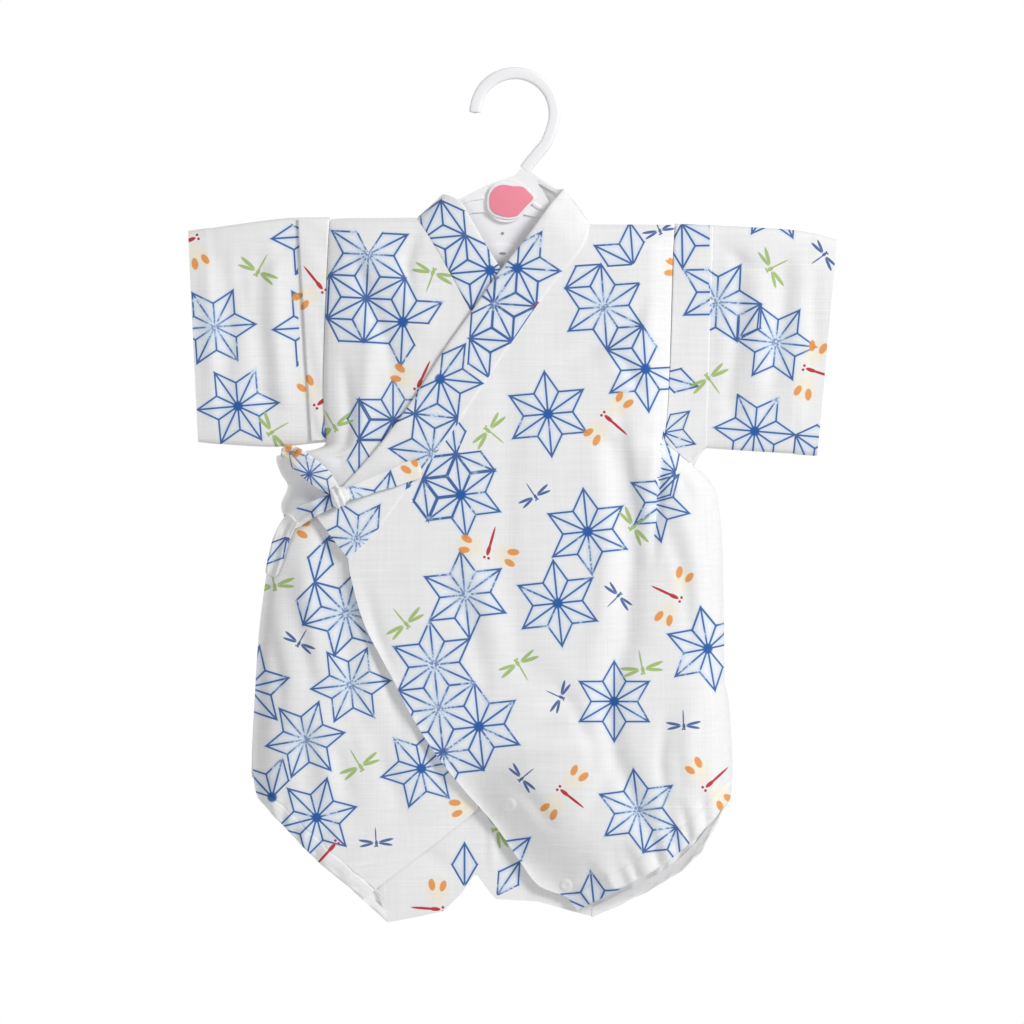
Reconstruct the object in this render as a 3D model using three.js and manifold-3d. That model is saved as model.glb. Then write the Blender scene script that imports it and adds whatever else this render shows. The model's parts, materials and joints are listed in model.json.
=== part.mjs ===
// A baby's jinbei romper, size class 70, hung on a small plastic hanger.
// Millimetres, +Z up, the front faces -Y, left and right are the viewer's.
// The origin is the underside of the hook's crown, where a rod carries it.
import * as THREE from "three";
import Module from "manifold-3d";
import { mergeVertices } from "three/addons/utils/BufferGeometryUtils.js";

const wasm = await Module();
wasm.setup();

// Driving sizes
const cloth = 1.0;            // wall of one layer of slub cotton
const bandCloth = 1.8;        // wall of the folded neck band
const seam = 0.35;            // gap between pieces that are sewn together
const foldGap = 0.25;         // half the clear space where front and back meet
const layerStep = cloth + 1.4;  // how far the upper front lies above the lower one
const underBandCloth = 1.3;   // wall of the neck band that the upper front covers
const shoulderRound = 16;     // distance over which the cloth rounds down to a top fold
const sideRound = 28;         // the same at a side seam
const crotchRound = 24;       // the same at the inseams
const gatherRise = 1.2;       // half height of a gather at the leg hems
const shoulderLevel = -84;    // height of the shoulder folds
const foldFade = { from: 2, to: 16 };       // folds grow in over this distance from a side edge
const liftFromTop = { from: 3, to: 20 };    // the upper layer rises over this distance from a shoulder
const liftFromSide = { from: 1, to: 14 };   // and over this distance from the side seam
const steepest = 1.8;         // limit of the upper layer's allowance for sloping cloth
const hemTuck = { x: 0.3, z: 0.4 };         // keeps a front clear of its hem casing
const panelSteps = 20;        // faces across a front
const bottomBend = 8;         // how late a front's rows turn to follow its hem
const weld = 1e-4;            // points closer than this become one

// Turns short rows into records with named columns.
function table(names, rows) {
  return rows.map((row) => Object.fromEntries(names.map((name, i) => [name, row[i]])));
}

// Smooth, never overshooting curve through the rows, reading column `to` at a value of column `from`.
function curve(rows, from, to) {
  const sorted = [...rows].sort((a, b) => a[from] - b[from]);
  const at = sorted.map((row) => row[from]);
  const value = sorted.map((row) => row[to]);
  const step = at.slice(1).map((v, i) => (value[i + 1] - value[i]) / (v - at[i]));
  const slope = value.map((_, i) => {
    if (i === 0 || i === value.length - 1) {
      return step[Math.min(i, step.length - 1)];
    }
    const before = step[i - 1];
    const after = step[i];
    return before * after <= 0 ? 0 : (2 * before * after) / (before + after);
  });
  return (where) => {
    if (where <= at[0]) {
      return value[0];
    }
    if (where >= at[at.length - 1]) {
      return value[value.length - 1];
    }
    let i = 0;
    while (where > at[i + 1]) {
      i += 1;
    }
    const width = at[i + 1] - at[i];
    const t = (where - at[i]) / width;
    const u = 1 - t;
    return (
      value[i] * (1 + 2 * t) * u * u +
      value[i + 1] * (3 - 2 * t) * t * t +
      width * (slope[i] * t * u * u - slope[i + 1] * t * t * u)
    );
  };
}

// Outlines of the garment in the plane X, Z, as the front view shows them

// Viewer's left edge of the body: armhole, underarm, side seam, then the leg's hem.
const bodyLeft = table(["z", "x"], [
  [-84, -111.9], [-118, -113.3], [-165, -115], [-187, -115.5], [-205, -114.8], [-219, -113.9],
  [-222, -116], [-225, -127], [-227.5, -144], [-236, -141.5], [-245, -136.8], [-257, -140.9],
  [-266, -138.4], [-277, -146], [-298, -149.7], [-337, -154.5], [-372, -156.7], [-415, -158.5],
  [-432.7, -154.5], [-508.4, -79.3],
]);
// Viewer's right edge of the body, in the same order.
const bodyRight = table(["z", "x"], [
  [-84, 94.9], [-112, 93.3], [-171, 91.5], [-205, 89.6], [-217, 88.3], [-226, 97], [-236, 109.3],
  [-239, 113], [-250, 119.9], [-286, 123.3], [-330, 124], [-361, 124.5], [-375, 127],
  [-416, 129.2], [-435.2, 127.4], [-450, 123.1], [-464.6, 111.9], [-479, 96.1], [-490.3, 76.5],
  [-504.8, 47.1],
]);
// Where the front and back meet in a fold at the top: shoulder, then up the band's fold to its peak.
const topFoldLeft = table(["x", "z"], [[-111.9, -84], [-59.7, -83.8], [-43.8, -69.2]]);
const topFoldRight = table(["x", "z"], [[94.9, -88], [44.1, -87.8], [28.2, -65.9]]);
// The upper front's seam with its band, then its free edge down to the crotch and the right inseam.
const overEdge = table(["z", "x"], [
  [-88.4, 44.1], [-98, 41.5], [-135.2, 13.5], [-178.9, -16.2], [-210.7, -37.1], [-240.2, -59.1],
  [-252.2, -69.3], [-269.6, -81.7], [-288.8, -100.5], [-311, -96.3], [-329.6, -90.3],
  [-344.6, -82.7], [-363.2, -72.7], [-380, -64.3], [-402.8, -50.1], [-427.4, -31.8],
  [-450.1, -12.4], [-471.1, 1.9], [-486.2, 13.5], [-492.6, 30],
]);
// The lower front's seam with its band, its hidden free edge, then the left inseam.
const underEdge = table(["z", "x"], [
  [-84.2, -59.7], [-94.4, -53.1], [-118.4, -39.3], [-143, -25.8], [-179, 0], [-211, 21],
  [-246, 46], [-270, 63], [-292, 74], [-314, 67], [-338, 57.5], [-362, 45], [-390, 28],
  [-418, 4], [-438, -21.5], [-450, -36], [-487.8, -85],
]);
// The back's upper edge along shoulders and neckline, and its lower edge along hems and crotch.
const backTop = table(["x", "z"], [
  [-112, -84.2], [-60, -84.2], [-40, -87], [-8, -89], [25, -89], [44, -88.4], [95, -88.4],
]);
const backBottom = table(["x", "z"], [
  [-157.3, -420], [-135, -441.5], [-110, -465.6], [-95, -480], [-80.2, -494.3], [-78.9, -508.2],
  [-60, -504.6], [-43.7, -501], [-33, -490.5], [-24.3, -477.8], [-18, -487], [-12.4, -493.8],
  [0, -494.4], [12.9, -495.2], [30, -500], [46.4, -504.6], [47.6, -492.6], [70.7, -481],
  [90.3, -469.6], [106, -455], [116.5, -441], [128.6, -422],
]);
// The inseams, along which the fronts are snapped on the back's flaps.
const inseams = table(["x", "z"], [
  [-92.5, -493.4], [-36, -450], [-21.9, -438.2], [-12.4, -450.1], [1.9, -471.1], [36.3, -500.6],
]);

// Half the depth between front and back, before it rounds down to the edges.
const fullness = table(["z", "half"], [
  [-55, 6.2], [-84, 6.8], [-120, 8], [-180, 10], [-225, 11.5], [-280, 13.5], [-340, 16.5],
  [-400, 18.5], [-440, 17.5], [-475, 15], [-508, 11],
]);
// The share of that depth left at each edge: armholes and leg hems stand open, side seams close.
const openLeft = table(["z", "share"], [
  [-84, 0.5], [-190, 0.46], [-212, 0.3], [-219, 0.08], [-223, 0], [-420, 0], [-436, 0.3],
  [-455, 0.6], [-490, 0.6],
]);
const openRight = table(["z", "share"], [
  [-84, 0.5], [-190, 0.46], [-215, 0.34], [-232, 0.08], [-238, 0], [-424, 0], [-440, 0.3],
  [-458, 0.6], [-490, 0.6],
]);

// The largest folds: paths in X, Z; rise is outwards from the body, a valley's is negative.
const frontFolds = [
  { rise: -2.6, width: 9, path: [[58, -222], [68, -291], [66, -338], [54, -373], [58, -404], [74, -443]] },
  { rise: -1.3, width: 10, path: [[43, -165], [-4, -184], [-5, -228], [-6, -286], [0, -345], [23, -373]] },
  { rise: -1.6, width: 6, path: [[82, -214], [84, -246], [81, -277]] },
  { rise: 1.4, width: 9, path: [[-106, -99], [-75, -118], [-57, -150]] },
  { rise: -1.8, width: 8, path: [[-114, -279], [-104, -318], [-102, -365], [-98, -388]] },
  { rise: -1.5, width: 7, path: [[-141, -302], [-133, -326], [-122, -361]] },
  { rise: 1.2, width: 8, path: [[-139, -379], [-106, -394]] },
  { rise: -1.4, width: 6, path: [[-130, -386], [-123, -440]] },
];
const backFolds = [
  { rise: -2.4, width: 10, path: [[-72, -118], [-84, -180], [-80, -262], [-96, -352], [-90, -420]] },
  { rise: -2.2, width: 9, path: [[58, -122], [66, -206], [70, -300], [58, -372], [74, -436]] },
  { rise: -1.5, width: 11, path: [[-8, -150], [-14, -240], [-6, -330], [-20, -420]] },
  { rise: 1.4, width: 9, path: [[-40, -200], [-46, -290], [-58, -380]] },
  { rise: -1.2, width: 8, path: [[10, -380], [34, -430], [60, -462]] },
];

const leftAt = curve(bodyLeft, "z", "x");
const rightAt = curve(bodyRight, "z", "x");
const overEdgeAt = curve(overEdge, "z", "x");
const underEdgeAt = curve(underEdge, "z", "x");
const backTopAt = curve(backTop, "x", "z");
const fullnessAt = curve(fullness, "z", "half");
const openLeftAt = curve(openLeft, "z", "share");
const openRightAt = curve(openRight, "z", "share");

const lerp = THREE.MathUtils.lerp;
const smooth = (value, from, to) => THREE.MathUtils.smoothstep(value, from, to);

// A straight-sided outline read at x, for edges with corners.
function cornered(rows) {
  return (x) => {
    let i = 0;
    while (i < rows.length - 2 && x > rows[i + 1].x) {
      i += 1;
    }
    const t = (x - rows[i].x) / (rows[i + 1].x - rows[i].x);
    return lerp(rows[i].z, rows[i + 1].z, Math.min(Math.max(t, 0), 1));
  };
}
const backBottomAt = cornered(backBottom);
const inseamAt = cornered(inseams);

// Distance in the plane X, Z from a point to a path of straight stretches.
function distanceTo(path, x, z) {
  let nearest = Infinity;
  for (let i = 0; i < path.length - 1; i += 1) {
    const dx = path[i + 1].x - path[i].x;
    const dz = path[i + 1].z - path[i].z;
    const along = ((x - path[i].x) * dx + (z - path[i].z) * dz) / (dx * dx + dz * dz);
    const t = Math.min(Math.max(along, 0), 1);
    nearest = Math.min(nearest, Math.hypot(x - path[i].x - t * dx, z - path[i].z - t * dz));
  }
  return nearest;
}

// A quarter ellipse: 0 at the fold, 1 from `round` away.
function roundOver(distance, round) {
  const t = Math.min(Math.max(distance / round, 0), 1);
  return Math.sqrt(1 - (1 - t) * (1 - t));
}

// Half the clear depth inside the garment at x, z.
function bodyGap(x, z) {
  const top = Math.min(distanceTo(topFoldLeft, x, z), distanceTo(topFoldRight, x, z));
  let side = 1;
  if (z < shoulderLevel) {
    const toLeft = x - leftAt(z);
    const toRight = rightAt(z) - x;
    side =
      toLeft < toRight
        ? lerp(roundOver(toLeft, sideRound), 1, openLeftAt(z))
        : lerp(roundOver(toRight, sideRound), 1, openRightAt(z));
  }
  const inCrotch = x > inseams[0].x && x < inseams[inseams.length - 1].x && z < inseamAt(x);
  const toInseam = inCrotch ? 0 : distanceTo(inseams, x, z);
  const crotch = 1 - Math.exp(-((toInseam / crotchRound) ** 2));
  return foldGap + fullnessAt(z) * roundOver(top, shoulderRound) * side * crotch;
}

// Height of the drawn folds at x, z, fading towards seams and edges.
function foldHeight(folds, x, z) {
  const toSide = z < shoulderLevel ? Math.min(x - leftAt(z), rightAt(z) - x) : 0;
  const fade = smooth(toSide, foldFade.from, foldFade.to);
  let height = 0;
  for (const fold of folds) {
    const path = fold.path.map(([px, pz]) => ({ x: px, z: pz }));
    height += fold.rise * Math.exp(-((distanceTo(path, x, z) / fold.width) ** 2));
  }
  return height * fade;
}

// How much longer a step along Y is than the same step square to the surface.
function steepness(depth, x, z) {
  const reach = 3;
  const slopeX = (depth(x + reach, z) - depth(x - reach, z)) / (2 * reach);
  const slopeZ = (depth(x, z + reach) - depth(x, z - reach)) / (2 * reach);
  return Math.min(Math.hypot(1, slopeX, slopeZ), steepest);
}

// How far the upper front stands above the lower front's level.
function overLift(x, z) {
  const toTop = distanceTo(topFoldRight, x, z);
  const toSide = z < shoulderLevel ? rightAt(z) - x : toTop;
  const fromTop = smooth(toTop, liftFromTop.from, liftFromTop.to);
  return layerStep * fromTop * smooth(toSide, liftFromSide.from, liftFromSide.to);
}

const innerBack = (x, z) => Math.max(bodyGap(x, z) + foldHeight(backFolds, x, z), foldGap);
const innerUnder = (x, z) => -Math.max(bodyGap(x, z) + foldHeight(frontFolds, x, z), foldGap);
const innerOver = (x, z) => innerUnder(x, z) - overLift(x, z) * steepness(innerUnder, x, z);

// Walls

// Closes a wall between two grids of points; `wrap` joins the last column to the first.
function closeWall(inner, outer, wrap) {
  const rows = inner.length;
  const columns = inner[0].length;
  const points = [...inner.flat(), ...outer.flat()];
  const faces = [];
  const index = (side, r, c) => side * rows * columns + r * columns + (c % columns);
  const quad = (a, b, c, d) => faces.push(a, b, c, a, c, d);
  const lastColumn = wrap ? columns : columns - 1;
  for (let r = 0; r < rows - 1; r += 1) {
    for (let c = 0; c < lastColumn; c += 1) {
      quad(index(0, r, c), index(0, r + 1, c), index(0, r + 1, c + 1), index(0, r, c + 1));
      quad(index(1, r, c), index(1, r, c + 1), index(1, r + 1, c + 1), index(1, r + 1, c));
    }
  }
  for (let c = 0; c < lastColumn; c += 1) {
    quad(index(0, 0, c), index(0, 0, c + 1), index(1, 0, c + 1), index(1, 0, c));
    const r = rows - 1;
    quad(index(0, r, c), index(1, r, c), index(1, r, c + 1), index(0, r, c + 1));
  }
  for (let r = 0; r < rows - 1 && !wrap; r += 1) {
    quad(index(0, r, 0), index(1, r, 0), index(1, r + 1, 0), index(0, r + 1, 0));
    const c = columns - 1;
    quad(index(0, r, c), index(0, r + 1, c), index(1, r + 1, c), index(1, r, c));
  }
  return solid(points, faces);
}

// A geometry from points and faces, turned so that its faces look outwards.
function solid(points, faces) {
  let volume = 0;
  for (let i = 0; i < faces.length; i += 3) {
    const [a, b, c] = [points[faces[i]], points[faces[i + 1]], points[faces[i + 2]]];
    volume += a.dot(b.clone().cross(c));
  }
  const ordered = volume < 0 ? [...faces].reverse() : faces;
  const geometry = new THREE.BufferGeometry();
  const positions = points.flatMap((p) => [p.x, p.y, p.z]);
  geometry.setAttribute("position", new THREE.Float32BufferAttribute(positions, 3));
  geometry.setIndex(ordered);
  geometry.computeVertexNormals();
  return geometry;
}

// Outward direction of a surface y = depth(x, z) that faces -Y (facing = -1) or +Y (facing = 1).
function outward(depth, x, z, facing) {
  const reach = 0.6;
  const slopeX = (depth(x + reach, z) - depth(x - reach, z)) / (2 * reach);
  const slopeZ = (depth(x, z + reach) - depth(x, z - reach)) / (2 * reach);
  return new THREE.Vector3(-slopeX * facing, facing, -slopeZ * facing).normalize();
}

// A wall over a grid of places {x, z}: `from` and `to` are its two faces' heights above the depth.
function wallOver(places, depth, facing, from, to) {
  const raise = (height) =>
    places.map((row) =>
      row.map(({ x, z }) => {
        const normal = outward(depth, x, z, facing);
        return new THREE.Vector3(x, depth(x, z), z).addScaledVector(normal, height);
      })
    );
  return closeWall(raise(from), raise(to), false);
}

// Fractions from 0 to 1 in `count` steps, drawn closer together at both ends.
function fractions(count) {
  const crowding = 0.8;
  const list = [];
  for (let i = 0; i <= count; i += 1) {
    const t = i / count;
    list.push(lerp(t, (1 - Math.cos(Math.PI * t)) / 2, crowding));
  }
  return list;
}

// A smooth path through a table of x, z, read by its share of length.
function hemPath(rows) {
  const spline = new THREE.SplineCurve(rows.map(({ x, z }) => new THREE.Vector2(x, z)));
  return (t) => {
    const point = spline.getPointAt(t);
    return { x: point.x, z: point.y };
  };
}

// Leg hems: the casing's outer edge and its stitched inner edge, from the side seam to the inseam
const hems = {
  right_front: {
    facing: -1, gathers: 12,
    outer: table(["x", "z"], [[127.9, -433.4], [108.3, -454.7], [86.1, -473], [64.5, -485.3], [37, -500.2]]),
    inner: table(["x", "z"], [[128.7, -422], [102.8, -446.3], [80.6, -464.6], [59, -477], [30.6, -492.4]]),
  },
  right_back: {
    facing: 1, gathers: 12,
    outer: table(["x", "z"], [[127.4, -435.2], [111.9, -464.6], [96.1, -479], [76.5, -490.3], [47.3, -504.7]]),
    inner: table(["x", "z"], [[128.9, -422.4], [106.3, -455.4], [90.6, -470], [71, -481.4], [47.9, -493]]),
  },
  left_front: {
    facing: -1, gathers: 10,
    outer: table(["x", "z"], [[-154.6, -432.7], [-136, -452.5], [-117.9, -471.2], [-92.2, -493.6]]),
    inner: table(["x", "z"], [[-157.4, -420.4], [-133, -443.4], [-110, -465.4], [-85.2, -488.2]]),
  },
  left_back: {
    facing: 1, gathers: 12,
    outer: table(["x", "z"], [[-154.5, -432.7], [-129, -458.6], [-104, -483.7], [-79.8, -508]]),
    inner: table(["x", "z"], [[-157.5, -420.4], [-135.3, -441.9], [-110.3, -466], [-80.6, -494.7]]),
  },
};

const casingShare = 0.97;    // the casing stops this far towards its stitched line
const backHemGap = 1.3;      // height left between the back and its casing, which leans outwards

function hemCasing({ facing, gathers, outer, inner }) {
  const outerAt = hemPath(outer);
  const innerAt = hemPath(inner);
  const samples = gathers * 3;
  const bands = 2;
  const depth = facing > 0 ? innerBack : innerOverOrUnder(outer[0].x);
  const build = (height) => {
    const grid = [];
    for (let r = 0; r <= bands; r += 1) {
      const row = [];
      for (let c = 0; c <= samples; c += 1) {
        const t = c / samples;
        const from = outerAt(t);
        const to = innerAt(t);
        to.z = facing > 0 ? backBottomAt(to.x) - backHemGap : to.z;
        const x = lerp(from.x, to.x, (r / bands) * casingShare);
        const z = lerp(from.z, to.z, (r / bands) * casingShare);
        const ends = smooth(t, 0, 0.08) * (1 - smooth(t, 0.92, 1));
        const wave = (1 - Math.cos(2 * Math.PI * gathers * t)) * gatherRise * ends;
        const rise = height + wave * lerp(1, 0.45, r / bands);
        const normal = outward(depth, x, z, facing);
        row.push(new THREE.Vector3(x, depth(x, z), z).addScaledVector(normal, rise));
      }
      grid.push(row);
    }
    return grid;
  };
  return closeWall(build(0), build(cloth * 1.2), false);
}

function innerOverOrUnder(x) {
  return x > 0 ? innerOver : innerUnder;
}

// Body panels

// The heights of a panel's sections at its left and right edge, from the shoulder down.
const overSections = table(["left", "right"], [
  [-88.4, -88.4], [-91, -91], [-96, -96], [-105, -105], [-118, -118], [-135, -135], [-156, -156],
  [-178, -178], [-198, -198], [-213, -213], [-222, -221.5], [-231, -230], [-240, -238.5],
  [-252, -249], [-266, -262], [-279, -275], [-288.8, -287], [-300, -299], [-318, -317],
  [-337, -336], [-356, -354], [-375, -371], [-394, -386], [-413, -398], [-432, -406],
  [-450, -412], [-471, -417], [-492.6, -421.6],
]);
const underSections = table(["left", "right"], [
  [-84.2, -84.2], [-87, -87], [-92, -92], [-101, -101], [-116, -116], [-136, -136], [-158, -158],
  [-180, -180], [-200, -200], [-213, -213], [-219.5, -220], [-222.5, -224], [-225.5, -228],
  [-229, -233], [-237, -240], [-246, -248], [-257, -258], [-267, -268], [-278, -279],
  [-293, -293], [-312, -314], [-334, -338], [-354, -362], [-370, -384], [-382, -402], [-390, -415],
  [-397, -426], [-403, -437], [-408, -448], [-412, -460], [-416, -474], [-420, -487.8],
]);
const backSections = table(["left", "right"], [
  [-84.2, -88.4], [-88, -92], [-94, -98], [-105, -108], [-122, -124], [-145, -146], [-168, -168],
  [-190, -190], [-207, -208], [-218, -218.5], [-222, -226], [-225.5, -232], [-229, -238.5],
  [-238, -246], [-250, -256], [-266, -270], [-284, -288], [-306, -308], [-330, -332],
  [-354, -355], [-377, -377], [-395, -396], [-409, -411], [-420, -422],
]);

function frontPanel({ sections, leftEdge, rightEdge, bottom }) {
  const steps = fractions(panelSteps);
  const last = sections[sections.length - 1];
  const bottomAt = hemPath(bottom);
  const straight = (section, u) => ({
    x: lerp(leftEdge(section.left), rightEdge(section.right), u),
    z: lerp(section.left, section.right, u),
  });
  return sections.map((section, r) => {
    const weight = (r / (sections.length - 1)) ** bottomBend;
    return steps.map((u) => {
      const place = straight(section, u);
      const end = straight(last, u);
      const target = bottomAt(u);
      place.x += weight * (target.x - end.x);
      place.z += weight * (target.z - end.z);
      return place;
    });
  });
}

// An edge moved in by half a seam's gap.
const inset = (edge, by) => (z) => edge(z) + by;

const overPlaces = frontPanel({
  sections: overSections,
  leftEdge: inset(overEdgeAt, seam / 2),
  rightEdge: inset(rightAt, 0),
  bottom: [...hems.right_front.inner].reverse().map(({ x, z }) => ({ x: x - hemTuck.x, z: z + hemTuck.z })),
});
const underPlaces = frontPanel({
  sections: underSections,
  leftEdge: inset(leftAt, 0),
  rightEdge: inset(underEdgeAt, -seam / 2),
  bottom: hems.left_front.inner.map(({ x, z }) => ({ x: x + hemTuck.x, z: z + hemTuck.z })),
});

// The back's columns, by their place at the hips, with one at each corner of its lower edge.
const backColumns = [
  -157.3, -154, -147, -135, -122, -109, -95, -80.2, -78.9, -60, -43.7, -33, -24.3, -18, -12.4, 0,
  12.9, 30, 46.4, 47.6, 60, 75, 90, 106, 117, 124, 128.6,
];

// How soon the back's rows leave the line of the shoulders, and how soon they take the lower edge's.
const topBend = 6;
const crotchBend = 2.2;

function backPlaces() {
  const lastRow = backSections.length - 1;
  const first = backColumns[0];
  const width = backColumns[backColumns.length - 1] - first;
  return backSections.map((section, r) =>
    backColumns.map((column) => {
      const u = (column - first) / width;
      const x = lerp(leftAt(section.left), rightAt(section.right), u);
      const level = lerp(section.left, section.right, u);
      const topError = backTopAt(x) - lerp(backSections[0].left, backSections[0].right, u);
      const bottomLevel = lerp(backSections[lastRow].left, backSections[lastRow].right, u);
      const bottomError = backBottomAt(column) - bottomLevel;
      const down = r / lastRow;
      const z = level + topError * (1 - down) ** topBend + bottomError * down ** crotchBend;
      return { x, z };
    })
  );
}

// Neck band

// Each row crosses the band: its seam with the panel, then its free inner edge.
const overBand = table(["seamX", "seamZ", "freeX", "freeZ"], [
  [44.4, -87.9, 28.4, -65.9], [43.2, -92, 25.5, -69.5], [41, -99, 20.5, -75.5],
  [27.5, -117, 4.5, -97.5], [13.5, -135.2, -10.9, -116.9], [-1.5, -157, -26.7, -139.8],
  [-16.2, -178.9, -42, -161.2], [-26.6, -194.5, -52.4, -177.6], [-37.1, -210.7, -62.8, -193.9],
  [-48, -225.5, -73, -208.2], [-59.1, -240.2, -83.5, -222], [-69.3, -252.2, -93.6, -233.6],
  [-81.7, -269.6, -106.6, -247.4], [-100.5, -288.8, -122.6, -259.6],
]);
const underBand = table(["seamX", "seamZ", "freeX", "freeZ"], [
  [-60, -83.9, -43.9, -69.2], [-57.5, -88, -39.5, -70.6], [-53.1, -94.4, -34.1, -73.4],
  [-46.5, -105.6, -26.4, -86], [-39.3, -118.4, -17.6, -101.2], [-32.6, -130.7, -9.2, -114.6],
  [-25.8, -143, -1.4, -126.6], [-13, -161, 11.6, -144.6], [0, -179, 25, -162.6],
  [10.5, -195, 35.6, -178.4], [21, -211, 46, -194], [33.5, -228.5, 57.6, -210.6],
  [46, -246, 69.6, -228],
]);

const bandAcross = 4;

function bandRow(seamX, seamZ, freeX, freeZ) {
  const list = [];
  const start = seam / 2 / Math.hypot(freeX - seamX, freeZ - seamZ);
  for (let c = 0; c <= bandAcross; c += 1) {
    const t = lerp(start, 1, c / bandAcross);
    list.push({ x: lerp(seamX, freeX, t), z: lerp(seamZ, freeZ, t) });
  }
  return list;
}

// Crosses the band at the same heights as its panel's sections, so that the seam's edges match.
function frontBandPlaces(rows, edge, sections) {
  const freeX = curve(rows, "seamZ", "freeX");
  const freeZ = curve(rows, "seamZ", "freeZ");
  const end = rows[rows.length - 1].seamZ;
  const levels = sections.map((section) => section.left).filter((level) => level > end - 0.01);
  return levels.map((level) => bandRow(edge(level), level, freeX(level), freeZ(level)));
}

// The band round the back of the neck: sewn edge along the neckline, free edge above it.
const backBand = table(["seamX", "seamZ", "freeX", "freeZ"], [
  [-59.2, -83.5, -43.6, -69], [-54, -84.2, -40.6, -70.6], [-46, -85.6, -35, -72.2],
  [-34, -87.2, -27, -69.6], [-20, -88.1, -16, -64.8], [-5, -88.6, -3, -59.2],
  [8, -88.6, 7, -55.4], [20, -88.6, 14.5, -59], [30, -88.3, 20, -63.2], [38, -87.9, 24.6, -65.8],
  [43.6, -87.6, 28, -65.8],
]);

// Sleeves

// From the armhole (s = 0) to the cuff (s = 1): the ends of the section and half its clear depth.
const sleeveLeft = table(["s", "topX", "topZ", "bottomX", "bottomZ", "half"], [
  [0, -112.6, -84.2, -114.8, -217.6, 5], [0.23, -131.7, -84.3, -123.6, -218.4, 4.4],
  [0.5, -154.1, -86.4, -146.1, -220.4, 5.4], [0.75, -175.5, -89.4, -168.6, -219.4, 6],
  [1, -197.4, -92.6, -191.5, -217.2, 5.4],
]);
const sleeveRight = table(["s", "topX", "topZ", "bottomX", "bottomZ", "half"], [
  [0, 95.6, -88, 110.6, -232.8, 5], [0.25, 118.5, -89, 114.4, -221.2, 4.6],
  [0.5, 143, -90.2, 136, -222.6, 5.6], [0.75, 168.5, -92, 158.6, -224, 6],
  [1, 192.5, -97.9, 180.9, -225.5, 5.4],
]);
const foldSink = 1.5;         // how far the sleeve lies lower under its fold
const foldSeat = 0.3;         // gap between the sleeve and the fold laid on it
const foldCloth = 1.4;        // thickness of the laid fold
const foldEdge = 0.6;         // how much thinner it is along its free edge
const sleeveSquareness = 4;   // a high power gives a flat sleeve with tight side folds

// A point of a sleeve's inner face: phi runs 0 at the top, through the front, round the back.
function sleevePoint(rows, armholeX, foldAt, s, phi) {
  const read = (name) => curve(rows, "s", name)(s);
  const w = (1 - Math.cos(phi)) / 2;
  const start = rows[0];
  const z = lerp(read("topZ"), read("bottomZ"), w);
  const straightX = lerp(start.topX, start.bottomX, w);
  const startZ = lerp(start.topZ, start.bottomZ, w);
  const curved = armholeX(startZ) - straightX;
  const x = lerp(read("topX"), read("bottomX"), w) + curved * (1 - smooth(s, 0, foldAt));
  const section = foldGap + read("half") * (1 - Math.abs(2 * w - 1) ** sleeveSquareness) ** (1 / sleeveSquareness);
  const atArmhole = bodyGap(armholeX(startZ), startZ);
  const front = phi <= Math.PI;
  const bump = Math.sin(Math.PI * w) ** 0.5;
  const sink = front ? foldSink * bump * (1 - smooth(s, foldAt, foldAt + 0.2)) : 0;
  const half = Math.max(lerp(atArmhole, section, smooth(s, 0, 0.2)) - sink, foldGap);
  return new THREE.Vector3(x, front ? -half : half, z);
}

function sleeveNormal(surface, s, phi) {
  const ds = 0.01;
  const dp = 0.04;
  const alongS = surface(Math.min(s + ds, 1), phi).sub(surface(Math.max(s - ds, 0), phi));
  const alongPhi = surface(s, phi + dp).sub(surface(s, phi - dp));
  const normal = alongS.cross(alongPhi).normalize();
  const lookingOut = new THREE.Vector3(0, -Math.sin(phi), Math.cos(phi));
  return normal.dot(lookingOut) < 0 ? normal.negate() : normal;
}

function raised(surface, s, phi, height) {
  return surface(s, phi).addScaledVector(sleeveNormal(surface, s, phi), height);
}

function sleeveTube(surface) {
  const around = 22;
  const stations = [0, 0.06, 0.12, 0.18, 0.24, 0.32, 0.42, 0.54, 0.66, 0.78, 0.9, 1];
  const grid = (height) =>
    stations.map((s) => {
      const ring = [];
      for (let c = 0; c < around; c += 1) {
        ring.push(raised(surface, s, (2 * Math.PI * (c + 0.001)) / around, height));
      }
      return ring;
    });
  return closeWall(grid(0), grid(cloth), true);
}

function sleeveFold(surface, foldAt) {
  const across = [0.004, 0.25, 0.5, 0.75, 0.92, 1];
  const down = 16;
  const grid = (height, edge) => {
    const rows = [];
    for (let r = 0; r <= down; r += 1) {
      const phi = lerp(0.16, Math.PI - 0.2, r / down);
      rows.push(across.map((t) => raised(surface, t * foldAt, phi, height - (t === 1 ? edge : 0))));
    }
    return rows;
  };
  const foot = cloth + foldSeat;
  return closeWall(grid(foot, 0), grid(foot + foldCloth, foldEdge), false);
}

// Ties

const edgeThinning = 0.35;    // share by which a strip is thinner at its edges

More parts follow.
